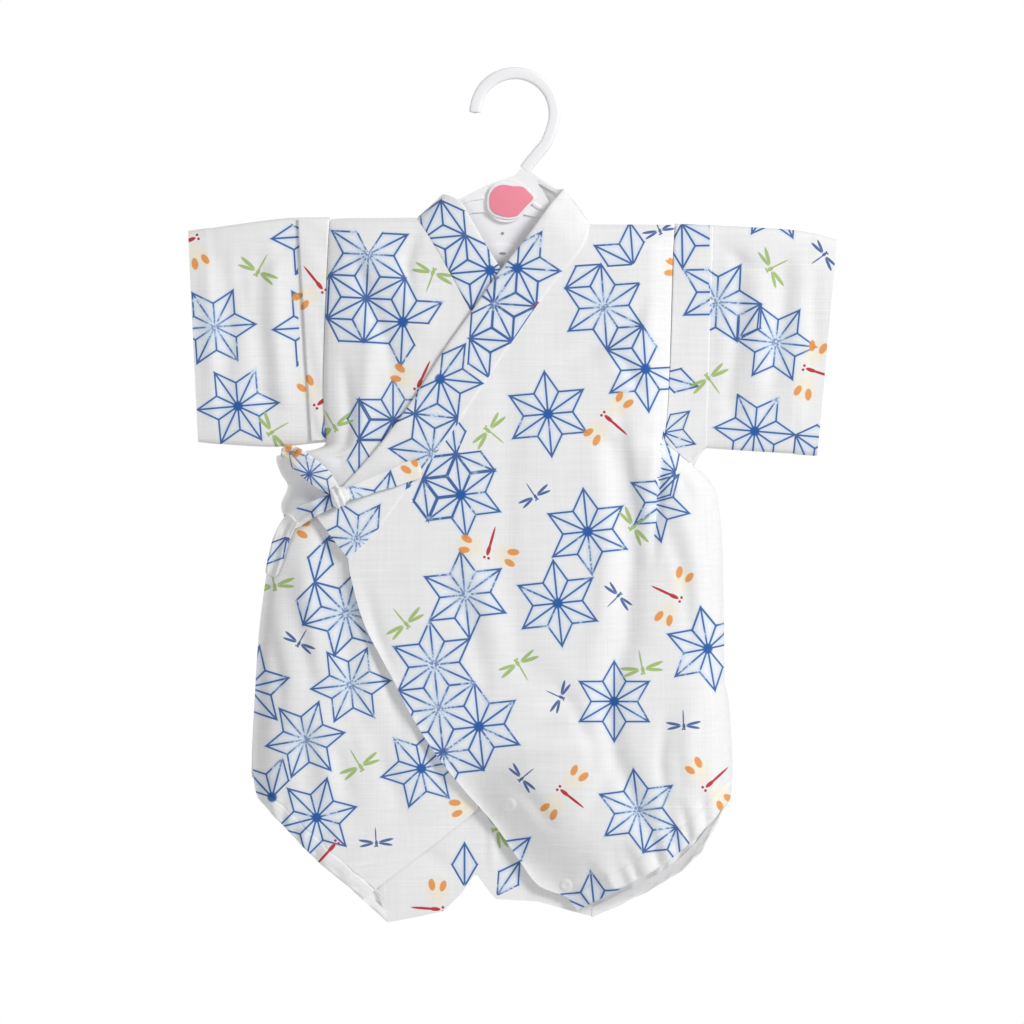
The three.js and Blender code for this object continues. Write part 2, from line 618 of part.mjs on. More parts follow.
// A flat strip along a path: x, z, the lift of its lower face above the cloth, its width.
function strip(rows, depth, thickness, crown) {
  const across = 4;
  const place = rows.map((row, i) => {
    const before = rows[Math.max(i - 1, 0)];
    const after = rows[Math.min(i + 1, rows.length - 1)];
    const length = Math.hypot(after.x - before.x, after.z - before.z);
    return { ...row, sideX: -(after.z - before.z) / length, sideZ: (after.x - before.x) / length };
  });
  const grid = (top) =>
    place.map((row) => {
      const list = [];
      for (let c = 0; c <= across; c += 1) {
        const t = (c / across) * 2 - 1;
        const x = row.x + (row.sideX * t * row.width) / 2;
        const z = row.z + (row.sideZ * t * row.width) / 2;
        const bulge = top * (thickness * (1 - edgeThinning * t * t) + crown * (1 - t * t));
        const foot = Math.min(depth(row.x, row.z), depth(x, z));
        list.push(new THREE.Vector3(x, foot - row.lift - bulge, z));
      }
      return list;
    });
  return closeWall(grid(0), grid(1), false);
}

const strapPath = table(["x", "z", "lift", "width"], [
  [-57, -234.6, 2.2, 11.5], [-65, -236.4, 2.3, 12], [-74, -240.2, 2.6, 11], [-84, -243.4, 3, 9.5],
  [-93, -247, 3.6, 9.5], [-100.2, -249.6, 4.4, 9],
]);
const bundlePath = table(["x", "z", "lift", "width"], [
  [-112.8, -254.6, 5.2, 8.5], [-119.6, -257.8, 6, 8.5], [-126, -261, 3.2, 9.5], [-132.6, -264.6, 2.2, 11],
]);
const tailPath = table(["x", "z", "lift", "width"], [
  [-135, -266.6, 6.2, 8.5], [-138.6, -271, 4.6, 9.2], [-141.8, -278, 2.8, 9.8],
  [-144.6, -288, 2.3, 9.4], [-147.8, -299.6, 2.3, 8.4],
]);
const loopPath = table(["x", "z", "lift", "width"], [
  [-110.7, -246.4, 4.6, 9.5], [-118, -239.6, 4.4, 13.5], [-126, -233, 4.8, 13], [-134, -226.6, 4.8, 11],
  [-141.6, -222.4, 4.4, 6.4],
]);

function tieKnot(centre, radii) {
  const geometry = new THREE.SphereGeometry(1, 16, 10);
  geometry.scale(radii.x, radii.y, radii.z);
  geometry.rotateY(0.5);
  geometry.translate(centre.x, centre.y, centre.z);
  geometry.deleteAttribute("normal");
  geometry.deleteAttribute("uv");
  const merged = mergeVertices(geometry, weld);
  merged.computeVertexNormals();
  return merged;
}

// Snap caps

const capSeat = 0.9;          // clears the cloth's curve under the cap

function snapCap(x, z) {
  const profile = [[0, 0], [4.5, 0], [4.5, 0.5], [3.15, 1.1], [0, 1.3]];
  const geometry = new THREE.LatheGeometry(profile.map(([r, h]) => new THREE.Vector2(r, h)), 20);
  geometry.deleteAttribute("normal");
  geometry.deleteAttribute("uv");
  const merged = mergeVertices(geometry, weld);
  const normal = outward(innerOver, x, z, -1);
  const turn = new THREE.Quaternion().setFromUnitVectors(new THREE.Vector3(0, 1, 0), normal);
  merged.applyQuaternion(turn);
  const foot = new THREE.Vector3(x, innerOver(x, z), z).addScaledVector(normal, cloth + capSeat);
  merged.translate(foot.x, foot.y, foot.z);
  merged.computeVertexNormals();
  return merged;
}

// Hanger

const hook = { centre: { x: -0.3, z: -23.6 }, radius: 23.6, width: 7.4, depth: 5 };
const hanger = {
  rim: 4.6, web: 2.4, boss: 6.4, bossRadius: 13, bossX: -5.7, bossZ: -73.4, chip: 1, chipSeat: 0.3,
};

// The hook bends round its centre from the tip to the right, then leans in to the stem's foot.
function hookPath() {
  const path = [];
  const round = { from: 184, to: -20, step: 8.5 };
  for (let angle = round.from; angle > round.to; angle -= round.step) {
    const a = THREE.MathUtils.degToRad(angle);
    path.push([hook.centre.x + hook.radius * Math.cos(a), hook.centre.z + hook.radius * Math.sin(a)]);
  }
  path.push([20.4, -36], [16.2, -43.5], [11.4, -49.4], [7.6, -53.8]);
  return path;
}

function hangerHook() {
  const path = hookPath();
  const sides = 10;
  const rings = path.map(([x, z], i) => {
    const [bx, bz] = path[Math.max(i - 1, 0)];
    const [ax, az] = path[Math.min(i + 1, path.length - 1)];
    const length = Math.hypot(ax - bx, az - bz);
    const sideX = -(az - bz) / length;
    const sideZ = (ax - bx) / length;
    const ring = [];
    for (let c = 0; c < sides; c += 1) {
      const a = (2 * Math.PI * (c + 0.5)) / sides;
      const across = (Math.sign(Math.cos(a)) * Math.abs(Math.cos(a)) ** 0.7 * hook.width) / 2;
      const deep = (Math.sign(Math.sin(a)) * Math.abs(Math.sin(a)) ** 0.7 * hook.depth) / 2;
      ring.push(new THREE.Vector3(x + sideX * across, deep, z + sideZ * across));
    }
    return ring;
  });
  const points = rings.flat();
  const faces = [];
  for (let r = 0; r < rings.length - 1; r += 1) {
    for (let c = 0; c < sides; c += 1) {
      const n = (c + 1) % sides;
      const [a, b] = [r * sides + c, r * sides + n];
      faces.push(a, b, b + sides, a, b + sides, a + sides);
    }
  }
  for (let c = 1; c < sides - 1; c += 1) {
    const end = (rings.length - 1) * sides;
    faces.push(0, c + 1, c, end, end + c, end + c + 1);
  }
  return solid(points, faces);
}

// A plate of the given thickness, centred on the plane y = 0, from its outline in X, Z.
function plate(outline, thickness) {
  const shape = new THREE.Shape(outline.map(([x, z]) => new THREE.Vector2(x, z)));
  const geometry = new THREE.ExtrudeGeometry(shape, { depth: thickness, bevelEnabled: false });
  geometry.rotateX(Math.PI / 2);
  geometry.translate(0, thickness / 2, 0);
  return geometry;
}

function toManifold(geometry) {
  const bare = geometry.clone();
  bare.deleteAttribute("normal");
  bare.deleteAttribute("uv");
  const merged = mergeVertices(bare, weld);
  return new wasm.Manifold(
    new wasm.Mesh({
      numProp: 3,
      vertProperties: new Float32Array(merged.attributes.position.array),
      triVerts: new Uint32Array(merged.index.array),
    })
  );
}

function fromManifold(body) {
  const mesh = body.getMesh();
  const geometry = new THREE.BufferGeometry();
  geometry.setAttribute("position", new THREE.BufferAttribute(mesh.vertProperties, 3));
  geometry.setIndex(new THREE.BufferAttribute(mesh.triVerts, 1));
  geometry.computeVertexNormals();
  return geometry;
}

// Thick arms along the top, a thin web below them, a round boss and a lower bar.
function hangerBody() {
  const arms = plate([
    [-1, -58], [4, -52.2], [10.6, -57.3], [13.5, -64], [21, -76], [34, -86.5], [45, -90], [50, -89.4],
    [66, -89.3], [84, -89.6], [87.5, -92], [87.5, -96], [84, -98.5], [64, -98], [44, -97.5],
    [29, -92], [16, -84], [-5, -79.5], [-26, -80.5], [-40, -86], [-60, -94], [-80, -94.5],
    [-102, -95], [-105.5, -92.5], [-105.5, -88], [-102, -85.8], [-80, -85.4], [-68, -85.4],
    [-58, -86], [-48, -81.2], [-34.5, -72.4], [-18, -63.8],
  ], hanger.rim);
  const web = plate([
    [-38, -82], [-26, -76], [-5, -74], [16, -79], [29, -91], [17, -100], [5, -112], [-17, -112],
    [-28, -98],
  ], hanger.web);
  const bar = plate([
    [-18.5, -101.5], [-10, -100.2], [-1, -101], [6.5, -103.8], [5, -113], [-2, -115.5], [-14, -114.6],
    [-18.5, -110.5],
  ], hanger.rim);
  const boss = new THREE.CylinderGeometry(hanger.bossRadius, hanger.bossRadius, hanger.boss, 32);
  boss.translate(hanger.bossX, 0, hanger.bossZ);
  return fromManifold(toManifold(arms).add(toManifold(web)).add(toManifold(bar)).add(toManifold(boss)));
}

// The coloured chip on the boss: a rounded body with one pointed side.
function sizeChip() {
  const outline = [
    [-16.2, -74], [-15.6, -69.2], [-12.6, -65.3], [-8, -63.8], [-2, -64.6], [3.6, -65], [7.4, -68.2],
    [10.2, -71.8], [6.2, -76.4], [2.4, -80.6], [0, -82.6], [-6, -83.2], [-12.4, -81.4], [-15.6, -78.2],
  ];
  const shape = new THREE.Shape();
  const points = outline.map(([x, z]) => new THREE.Vector2(x, z));
  shape.setFromPoints(new THREE.SplineCurve([...points, points[0]]).getPoints(42).slice(0, -1));
  const geometry = new THREE.ExtrudeGeometry(shape, { depth: hanger.chip, bevelEnabled: false });
  geometry.rotateX(Math.PI / 2);
  geometry.translate(0, -hanger.boss / 2 - hanger.chipSeat, 0);
  geometry.deleteAttribute("normal");
  geometry.deleteAttribute("uv");
  const merged = mergeVertices(geometry, weld);
  merged.computeVertexNormals();
  return merged;
}

// Assembly

const colours = {
  print: new THREE.MeshStandardMaterial({ color: 0xeeeeec, roughness: 0.85, metalness: 0 }),
  white: new THREE.MeshStandardMaterial({ color: 0xf2f2ee, roughness: 0.6, metalness: 0 }),
  plastic: new THREE.MeshStandardMaterial({ color: 0xeeecf2, roughness: 0.35, metalness: 0 }),
  chip: new THREE.MeshStandardMaterial({ color: 0xf38ca0, roughness: 0.3, metalness: 0 }),
};

const romper = new THREE.Group();

function put(name, geometry, material) {
  const mesh = new THREE.Mesh(geometry, material);
  mesh.name = name;
  romper.add(mesh);
}

put("back", wallOver(backPlaces(), innerBack, 1, 0, cloth), colours.print);
put("front_under", wallOver(underPlaces, innerUnder, -1, 0, cloth), colours.print);
put("front_over", wallOver(overPlaces, innerOver, -1, 0, cloth), colours.print);
const underBandPlaces = frontBandPlaces(underBand, underEdgeAt, underSections);
const overBandPlaces = frontBandPlaces(overBand, overEdgeAt, overSections);
put("collar_under", wallOver(underBandPlaces, innerUnder, -1, 0, underBandCloth), colours.print);
put("collar_over", wallOver(overBandPlaces, innerOver, -1, 0, bandCloth), colours.print);
const backBandPlaces = backBand.map((row) => bandRow(row.seamX, row.seamZ, row.freeX, row.freeZ));
put("collar_back", wallOver(backBandPlaces, innerBack, 1, 0, bandCloth), colours.print);

const sleeves = {
  left: { rows: sleeveLeft, foldAt: 0.23, armholeX: (z) => leftAt(z) - 1.2 },
  right: { rows: sleeveRight, foldAt: 0.25, armholeX: (z) => rightAt(z) + 1.9 },
};
for (const [side, { rows, foldAt, armholeX }] of Object.entries(sleeves)) {
  const surface = (s, phi) => sleevePoint(rows, armholeX, foldAt, s, phi);
  put(`sleeve_${side}`, sleeveTube(surface), colours.print);
  put(`sleeve_${side}_fold`, sleeveFold(surface, foldAt), colours.print);
}

for (const [place, hem] of Object.entries(hems)) {
  put(`leg_hem_${place}`, hemCasing(hem), colours.print);
}

put("tie_strap", strip(strapPath, innerOver, 1.4, 0.4), colours.print);
put("tie_bundle", strip(bundlePath, innerUnder, 2.4, 1.4), colours.print);
put("tie_tail", strip(tailPath, innerUnder, 1.4, 0.5), colours.print);
put("tie_loop", strip(loopPath, innerUnder, 3, 1.6), colours.print);
const knotX = -106.4;
const knotZ = -251.6;
const knotHeight = 6.6;       // the knot's middle above the upper front
put(
  "tie_knot",
  tieKnot(
    { x: knotX, y: innerOver(knotX, knotZ) - cloth - knotHeight, z: knotZ },
    { x: 6, y: 4.4, z: 6.2 }
  ),
  colours.print
);

put("snap_crotch", snapCap(-3.9, -435.8), colours.white);
put("snap_leg", snapCap(30, -484.6), colours.white);

put("hanger_hook", hangerHook(), colours.plastic);
put("hanger_body", hangerBody(), colours.plastic);
put("size_chip", sizeChip(), colours.chip);

export default romper;
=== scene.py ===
# %% [markdown]
# # A jinbei romper on its hanger
# The object is a baby's cotton romper with a crossed neckline, straight sleeves, two ties and
# gathered leg hems, hung on a small plastic hanger. The solids loaded here are the frame: every
# piece below is laid on the same measures, so it stands where its solid stands.
# Measures are written in millimetres, as a sewing pattern would be, and turned into metres
# where a mesh is filled.

import math
import bpy
import numpy as np
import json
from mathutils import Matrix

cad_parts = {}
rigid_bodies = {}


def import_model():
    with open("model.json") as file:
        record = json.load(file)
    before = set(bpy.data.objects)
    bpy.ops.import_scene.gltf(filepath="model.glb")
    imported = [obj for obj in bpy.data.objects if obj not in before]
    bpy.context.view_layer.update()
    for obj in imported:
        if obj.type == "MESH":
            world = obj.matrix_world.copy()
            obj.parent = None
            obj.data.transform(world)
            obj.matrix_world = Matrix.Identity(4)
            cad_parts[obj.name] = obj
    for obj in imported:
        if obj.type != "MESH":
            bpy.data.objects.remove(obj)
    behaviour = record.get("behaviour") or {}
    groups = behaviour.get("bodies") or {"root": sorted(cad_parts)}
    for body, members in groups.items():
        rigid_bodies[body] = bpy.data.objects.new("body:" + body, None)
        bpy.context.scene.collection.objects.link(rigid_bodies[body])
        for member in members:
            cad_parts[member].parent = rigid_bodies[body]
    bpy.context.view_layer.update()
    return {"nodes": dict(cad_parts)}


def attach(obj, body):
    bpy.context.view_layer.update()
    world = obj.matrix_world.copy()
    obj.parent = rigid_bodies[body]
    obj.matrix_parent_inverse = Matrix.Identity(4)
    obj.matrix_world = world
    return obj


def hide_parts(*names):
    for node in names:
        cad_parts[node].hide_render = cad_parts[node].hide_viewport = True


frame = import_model()
MM = 0.001
print("solids in the frame:", len(frame["nodes"]))

# %% [markdown]
# ## Camera
# The romper is seen straight from the front with no visible perspective. A long lens from far
# away gives that. The picture's square is 614.4 mm wide at the cloth.

# %% Camera
picture_width = 0.6144
picture_middle_x, picture_middle_z = -0.0027, -0.2606
cloth_plane = -0.012
camera_distance = 3.2
sensor = 36.0
bpy.ops.object.camera_add(
    location=(picture_middle_x, cloth_plane - camera_distance, picture_middle_z),
    rotation=(math.pi / 2, 0, 0),
)
camera = bpy.context.object
camera.name = "camera"
camera.data.sensor_width = sensor
camera.data.lens = sensor * camera_distance / picture_width
bpy.context.scene.camera = camera
print("lens:", round(camera.data.lens, 1), "mm")

# %% [markdown]
# ## Floor and light
# A pale disc stands for the floor, far below, so that it stays out of the front picture. The
# light is soft: a white surrounding, one large lamp at the upper right that draws the creases,
# a weaker one at the left that keeps the shadows open, and one behind, at the side, that draws
# the creases of the back.

# %% Floor and light


def plain_material(name, colour, roughness):
    """A material of one colour."""
    material = bpy.data.materials.new(name)
    material.use_nodes = True
    shader = material.node_tree.nodes["Principled BSDF"]
    shader.inputs["Base Color"].default_value = (*colour, 1)
    shader.inputs["Roughness"].default_value = roughness
    return material


floor_depth = 0.8
bpy.ops.mesh.primitive_circle_add(vertices=96, radius=1.1, fill_type="NGON", location=(0, 0, 0))
floor = bpy.context.object
floor.name = "floor"
for corner in floor.data.vertices:
    corner.co.z -= floor_depth
floor.data.materials.append(plain_material("pale floor", (0.86, 0.86, 0.86), 0.9))

surround = bpy.data.worlds.new("soft white surround")
surround.use_nodes = True
bpy.context.scene.world = surround
world_nodes = surround.node_tree.nodes
world_links = surround.node_tree.links
sky = world_nodes["Background"]
sky.inputs["Color"].default_value = (0.98, 0.985, 1.0, 1)
sky.inputs["Strength"].default_value = 0.31
paper = world_nodes.new("ShaderNodeBackground")
paper.inputs["Color"].default_value = (1, 1, 1, 1)
paper.inputs["Strength"].default_value = 1.0
path_of_light = world_nodes.new("ShaderNodeLightPath")
choice = world_nodes.new("ShaderNodeMixShader")
world_links.new(path_of_light.outputs["Is Camera Ray"], choice.inputs[0])
world_links.new(sky.outputs[0], choice.inputs[1])
world_links.new(paper.outputs[0], choice.inputs[2])
world_links.new(choice.outputs[0], world_nodes["World Output"].inputs[0])

middle_of_romper = (0.0, 0.0, -0.28)


def soft_lamp(name, place, size, watts):
    """A square area lamp that looks at the middle of the romper."""
    bpy.ops.object.light_add(type="AREA", location=place)
    lamp = bpy.context.object
    lamp.name = name
    lamp.data.size = size
    lamp.data.energy = watts
    towards = [m - p for m, p in zip(middle_of_romper, place)]
    across = math.hypot(towards[0], towards[1])
    turn = math.atan2(towards[1], towards[0]) - math.pi / 2
    lamp.rotation_euler = (math.pi / 2 + math.atan2(towards[2], across), 0, turn)
    return lamp


soft_lamp("window at the upper right", (1.6, -1.25, 0.75), 0.7, 38)
soft_lamp("fill at the left", (-1.6, -1.9, 0.1), 1.4, 10)
soft_lamp("light from behind", (-1.7, 1.4, 0.7), 0.8, 26)
bpy.context.scene.view_settings.view_transform = "Standard"
print("lamps and surround are set")

# %% [markdown]
# ## The pattern's lines
# The outlines of the garment are tables of heights and widths as the front view shows them. A
# smooth line is read through each table, without overshooting between its points.

# %% Reading a table


def smooth_line(rows, across=0, along=1):
    """A function that reads column `along` at a value of column `across`."""
    ordered = sorted(rows, key=lambda row: row[across])
    at = np.array([row[across] for row in ordered], float)
    value = np.array([row[along] for row in ordered], float)
    step = np.diff(value) / np.diff(at)
    slope = np.empty_like(value)
    slope[0], slope[-1] = step[0], step[-1]
    product = step[:-1] * step[1:]
    total = step[:-1] + step[1:]
    slope[1:-1] = np.where(product > 0, 2 * product / np.where(total == 0, 1, total), 0)

    def read(where):
        where = np.clip(np.asarray(where, float), at[0], at[-1])
        i = np.clip(np.searchsorted(at, where, side="right") - 1, 0, len(at) - 2)
        width = at[i + 1] - at[i]
        t = (where - at[i]) / width
        u = 1 - t
        start = value[i] * (1 + 2 * t) * u * u + value[i + 1] * (3 - 2 * t) * t * t
        return start + width * (slope[i] * t * u * u - slope[i + 1] * t * t * u)

    return read


def straight_line(rows):
    """Reads an outline with corners: height at x."""
    return lambda x: np.interp(x, [row[0] for row in rows], [row[1] for row in rows])


def even_path(points):
    """Reads a path of points at a share of its length, smoothly."""
    points = np.array(points, float)
    length = np.concatenate([[0], np.cumsum(np.hypot(*np.diff(points, axis=0).T))])
    share = length / length[-1]
    x_line = smooth_line(list(zip(share, points[:, 0])))
    z_line = smooth_line(list(zip(share, points[:, 1])))
    return lambda t: (x_line(t), z_line(t))


def blend(low, high, share):
    return low + (high - low) * share


def ease(value, start, end):
    """0 before start, 1 after end, soft between."""
    t = np.clip((np.asarray(value, float) - start) / (end - start), 0, 1)
    return t * t * (3 - 2 * t)


def path_distance(path, x, z):
    """Distance to a path of straight stretches, and the share of the path where it is nearest."""
    x, z = np.asarray(x, float), np.asarray(z, float)
    nearest = np.full(np.broadcast(x, z).shape, 1e9)
    share = np.zeros_like(nearest)
    count = len(path) - 1
    for i in range(count):
        (ax, az), (bx, bz) = path[i][:2], path[i + 1][:2]
        dx, dz = bx - ax, bz - az
        t = np.clip(((x - ax) * dx + (z - az) * dz) / (dx * dx + dz * dz), 0, 1)
        distance = np.hypot(x - ax - t * dx, z - az - t * dz)
        closer = distance < nearest
        nearest = np.where(closer, distance, nearest)
        share = np.where(closer, (i + t) / count, share)
    return nearest, share


# %% Outlines of the garment, in x and z
body_left = [
    (-84, -111.9), (-118, -113.3), (-165, -115), (-187, -115.5), (-205, -114.8), (-219, -113.9),
    (-222, -116), (-225, -127), (-227.5, -144), (-236, -141.5), (-245, -136.8), (-257, -140.9),
    (-266, -138.4), (-277, -146), (-298, -149.7), (-337, -154.5), (-372, -156.7), (-415, -158.5),
    (-432.7, -154.5), (-508.4, -79.3),
]
body_right = [
    (-84, 94.9), (-112, 93.3), (-171, 91.5), (-205, 89.6), (-217, 88.3), (-226, 97), (-236, 109.3),
    (-239, 113), (-250, 119.9), (-286, 123.3), (-330, 124), (-361, 124.5), (-375, 127),
    (-416, 129.2), (-435.2, 127.4), (-450, 123.1), (-464.6, 111.9), (-479, 96.1), (-490.3, 76.5),
    (-504.8, 47.1),
]
top_fold_left = [(-111.9, -84), (-59.7, -83.8), (-43.8, -69.2)]
top_fold_right = [(94.9, -88), (44.1, -87.8), (28.2, -65.9)]
over_edge = [
    (-88.4, 44.1), (-98, 41.5), (-135.2, 13.5), (-178.9, -16.2), (-210.7, -37.1), (-240.2, -59.1),
    (-252.2, -69.3), (-269.6, -81.7), (-288.8, -100.5), (-311, -96.3), (-329.6, -90.3),
    (-344.6, -82.7), (-363.2, -72.7), (-380, -64.3), (-402.8, -50.1), (-427.4, -31.8),
    (-450.1, -12.4), (-471.1, 1.9), (-486.2, 13.5), (-492.6, 30),
]
under_edge = [
    (-84.2, -59.7), (-94.4, -53.1), (-118.4, -39.3), (-143, -25.8), (-179, 0), (-211, 21),
    (-246, 46), (-270, 63), (-292, 74), (-314, 67), (-338, 57.5), (-362, 45), (-390, 28),
    (-418, 4), (-438, -21.5), (-450, -36), (-487.8, -85),
]
back_top = [
    (-112, -84.2), (-60, -84.2), (-40, -87), (-8, -89), (25, -89), (44, -88.4), (95, -88.4),
]
back_bottom = [
    (-157.3, -420), (-135, -441.5), (-110, -465.6), (-95, -480), (-80.2, -494.3), (-78.9, -508.2),
    (-60, -504.6), (-43.7, -501), (-33, -490.5), (-24.3, -477.8), (-18, -487), (-12.4, -493.8),
    (0, -494.4), (12.9, -495.2), (30, -500), (46.4, -504.6), (47.6, -492.6), (70.7, -481),
    (90.3, -469.6), (106, -455), (116.5, -441), (128.6, -422),
]
inseams = [
    (-92.5, -493.4), (-36, -450), (-21.9, -438.2), (-12.4, -450.1), (1.9, -471.1), (36.3, -500.6),
]
left_at = smooth_line(body_left)
right_at = smooth_line(body_right)
over_edge_at = smooth_line(over_edge)
under_edge_at = smooth_line(under_edge)
back_top_at = smooth_line(back_top)
back_bottom_at = straight_line(back_bottom)
inseam_at = straight_line(inseams)
print("widest at the hips:", round(float(right_at(-400) - left_at(-400))), "mm")

# %% [markdown]
# ## How the cloth stands
# An empty garment is nearly flat: front and back meet in the folds at the shoulders and at the
# side seams, and stand a little apart between them, most at the seat. Half of that depth is a
# table of heights, rounded down to the edges. The upper front lies one layer higher than the
# lower one.

# %% Depth of the body
shoulder_z = -84               # the side seams and armholes lie below this height
fold_gap = 0.12                # half the space where front and back meet
half_depth_at = smooth_line([
    (-55, 6.2), (-84, 6.8), (-120, 8), (-180, 10), (-225, 11.5), (-280, 13.5), (-340, 16.5),
    (-400, 18.5), (-440, 17.5), (-475, 15), (-508, 11),
])
open_left_at = smooth_line([
    (-84, 0.5), (-190, 0.46), (-212, 0.3), (-219, 0.08), (-223, 0), (-420, 0), (-436, 0.3),
    (-455, 0.6), (-490, 0.6),
])
open_right_at = smooth_line([
    (-84, 0.5), (-190, 0.46), (-215, 0.34), (-232, 0.08), (-238, 0), (-424, 0), (-440, 0.3),
    (-458, 0.6), (-490, 0.6),
])


def round_over(distance, reach):
    """A quarter ellipse: 0 at a fold, 1 from `reach` away."""
    t = np.clip(distance / reach, 0, 1)
    return np.sqrt(1 - (1 - t) ** 2)


def body_gap(x, z):
    """Half the clear depth inside the garment."""
    x, z = np.asarray(x, float), np.asarray(z, float)
    top = np.minimum(path_distance(top_fold_left, x, z)[0], path_distance(top_fold_right, x, z)[0])
    to_left, to_right = x - left_at(z), right_at(z) - x
    left_share = blend(round_over(to_left, 28), 1, open_left_at(z))
    right_share = blend(round_over(to_right, 28), 1, open_right_at(z))
    side = np.where(z < shoulder_z, np.where(to_left < to_right, left_share, right_share), 1)
    in_crotch = (x > inseams[0][0]) & (x < inseams[-1][0]) & (z < inseam_at(x))
    to_inseam = np.where(in_crotch, 0, path_distance(inseams, x, z)[0])
    crotch = 1 - np.exp(-((to_inseam / 24) ** 2))
    return fold_gap + half_depth_at(z) * round_over(top, 16) * side * crotch


# %% [markdown]
# ## Creases
# Thin slub cotton keeps soft troughs and ridges where it is hung, sewn and gathered. Each is
# given as a path with its own rise and width, strongest in its middle and fading at
# both ends. No two are alike. The long ones on the front follow the real garment's pull from
# the crossing down to the legs, the back has its own set of the same kind.

# %% Tables of creases: rise, width, path
large_front_creases = [
    (-3.6, 8, [(58, -222), (68, -291), (66, -338), (54, -373), (58, -404), (74, -443)]),
    (-1.3, 10, [(43, -165), (-4, -184), (-5, -228), (-6, -286), (0, -345), (23, -373)]),
    (-1.6, 6, [(82, -214), (84, -246), (81, -277)]),
    (1.4, 9, [(-106, -99), (-75, -118), (-57, -150)]),
    (-1.8, 8, [(-114, -279), (-104, -318), (-102, -365), (-98, -388)]),
    (-1.5, 7, [(-141, -302), (-133, -326), (-122, -361)]),
    (1.2, 8, [(-139, -379), (-106, -394)]),
    (-1.4, 6, [(-130, -386), (-123, -440)]),
]
large_back_creases = [
    (-2.4, 10, [(-72, -118), (-84, -180), (-80, -262), (-96, -352), (-90, -420)]),
    (-2.2, 9, [(58, -122), (66, -206), (70, -300), (58, -372), (74, -436)]),
    (-1.5, 11, [(-8, -150), (-14, -240), (-6, -330), (-20, -420)]),
    (1.4, 9, [(-40, -200), (-46, -290), (-58, -380)]),
    (-1.2, 8, [(10, -380), (34, -430), (60, -462)]),
]
small_front_creases = [
    (-1.0, 4.5, [(62, -196), (66, -236), (72, -268), (70, -300)]),
    (0.8, 6, [(50, -232), (54, -280), (52, -322), (44, -352)]),
    (-0.7, 5, [(20, -360), (34, -377), (44, -398), (48, -420)]),
    (-0.8, 5, [(-4, -396), (16, -392), (43, -389)]),
    (0.7, 6, [(0, -404), (22, -402), (50, -400)]),
    (-0.9, 4, [(59, -165), (68, -176), (76, -192)]),
    (-0.8, 5, [(80, -128), (70, -146), (48, -160), (30, -168)]),
    (0.6, 6, [(84, -140), (72, -158), (56, -170)]),
    (-0.7, 6, [(-48, -296), (-30, -322), (-20, -360), (-24, -398)]),
    (0.6, 7, [(-30, -285), (-16, -320), (-8, -352)]),
    (-0.7, 4, [(88, -262), (100, -300), (104, -346)]),
    (0.7, 5, [(96, -250), (108, -292), (112, -340)]),
    (-0.8, 4, [(88, -205), (96, -232), (106, -256)]),
    (-0.6, 5, [(40, -446), (52, -425), (60, -404)]),
    (-0.9, 4, [(90, -380), (86, -410), (90, -440)]),
    (0.6, 5, [(104, -372), (102, -402), (106, -428)]),
    (-0.6, 4, [(-10, -420), (8, -432), (24, -452)]),
    (-0.9, 5, [(-100, -96), (-92, -124), (-78, -160), (-72, -190)]),
    (-0.8, 4, [(-60, -92), (-66, -112), (-62, -140)]),
    (0.7, 5, [(-88, -150), (-90, -190), (-98, -226)]),
    (-0.9, 4, [(-104, -170), (-100, -206), (-108, -240)]),
    (-0.8, 4, [(-126, -236), (-118, -256), (-112, -284)]),
    (0.9, 5, [(-128, -290), (-122, -330), (-116, -372)]),
    (-0.7, 4, [(-148, -330), (-142, -362), (-140, -398)]),
    (-0.9, 4.5, [(-92, -300), (-84, -336), (-76, -368), (-66, -396)]),
    (0.7, 5, [(-112, -330), (-104, -372), (-88, -410)]),
    (-0.9, 4, [(-84, -404), (-72, -430), (-66, -452)]),
    (-1.0, 3.5, [(-37, -452), (-30, -462), (-22, -476)]),
    (-0.8, 3.5, [(-108, -400), (-100, -430), (-96, -456)]),
    (0.7, 4, [(-118, -396), (-112, -424), (-112, -446)]),
    (-0.8, 4, [(-60, -384), (-50, -410), (-40, -434)]),
    (0.5, 4, [(-41, -434.6), (-38.5, -434.6)]),
    (-1.1, 2.2, [(90.5, -190), (88, -225), (84.5, -262), (82, -292)]),
    (0.9, 4, [(84, -196), (81, -235), (77, -275)]),
]
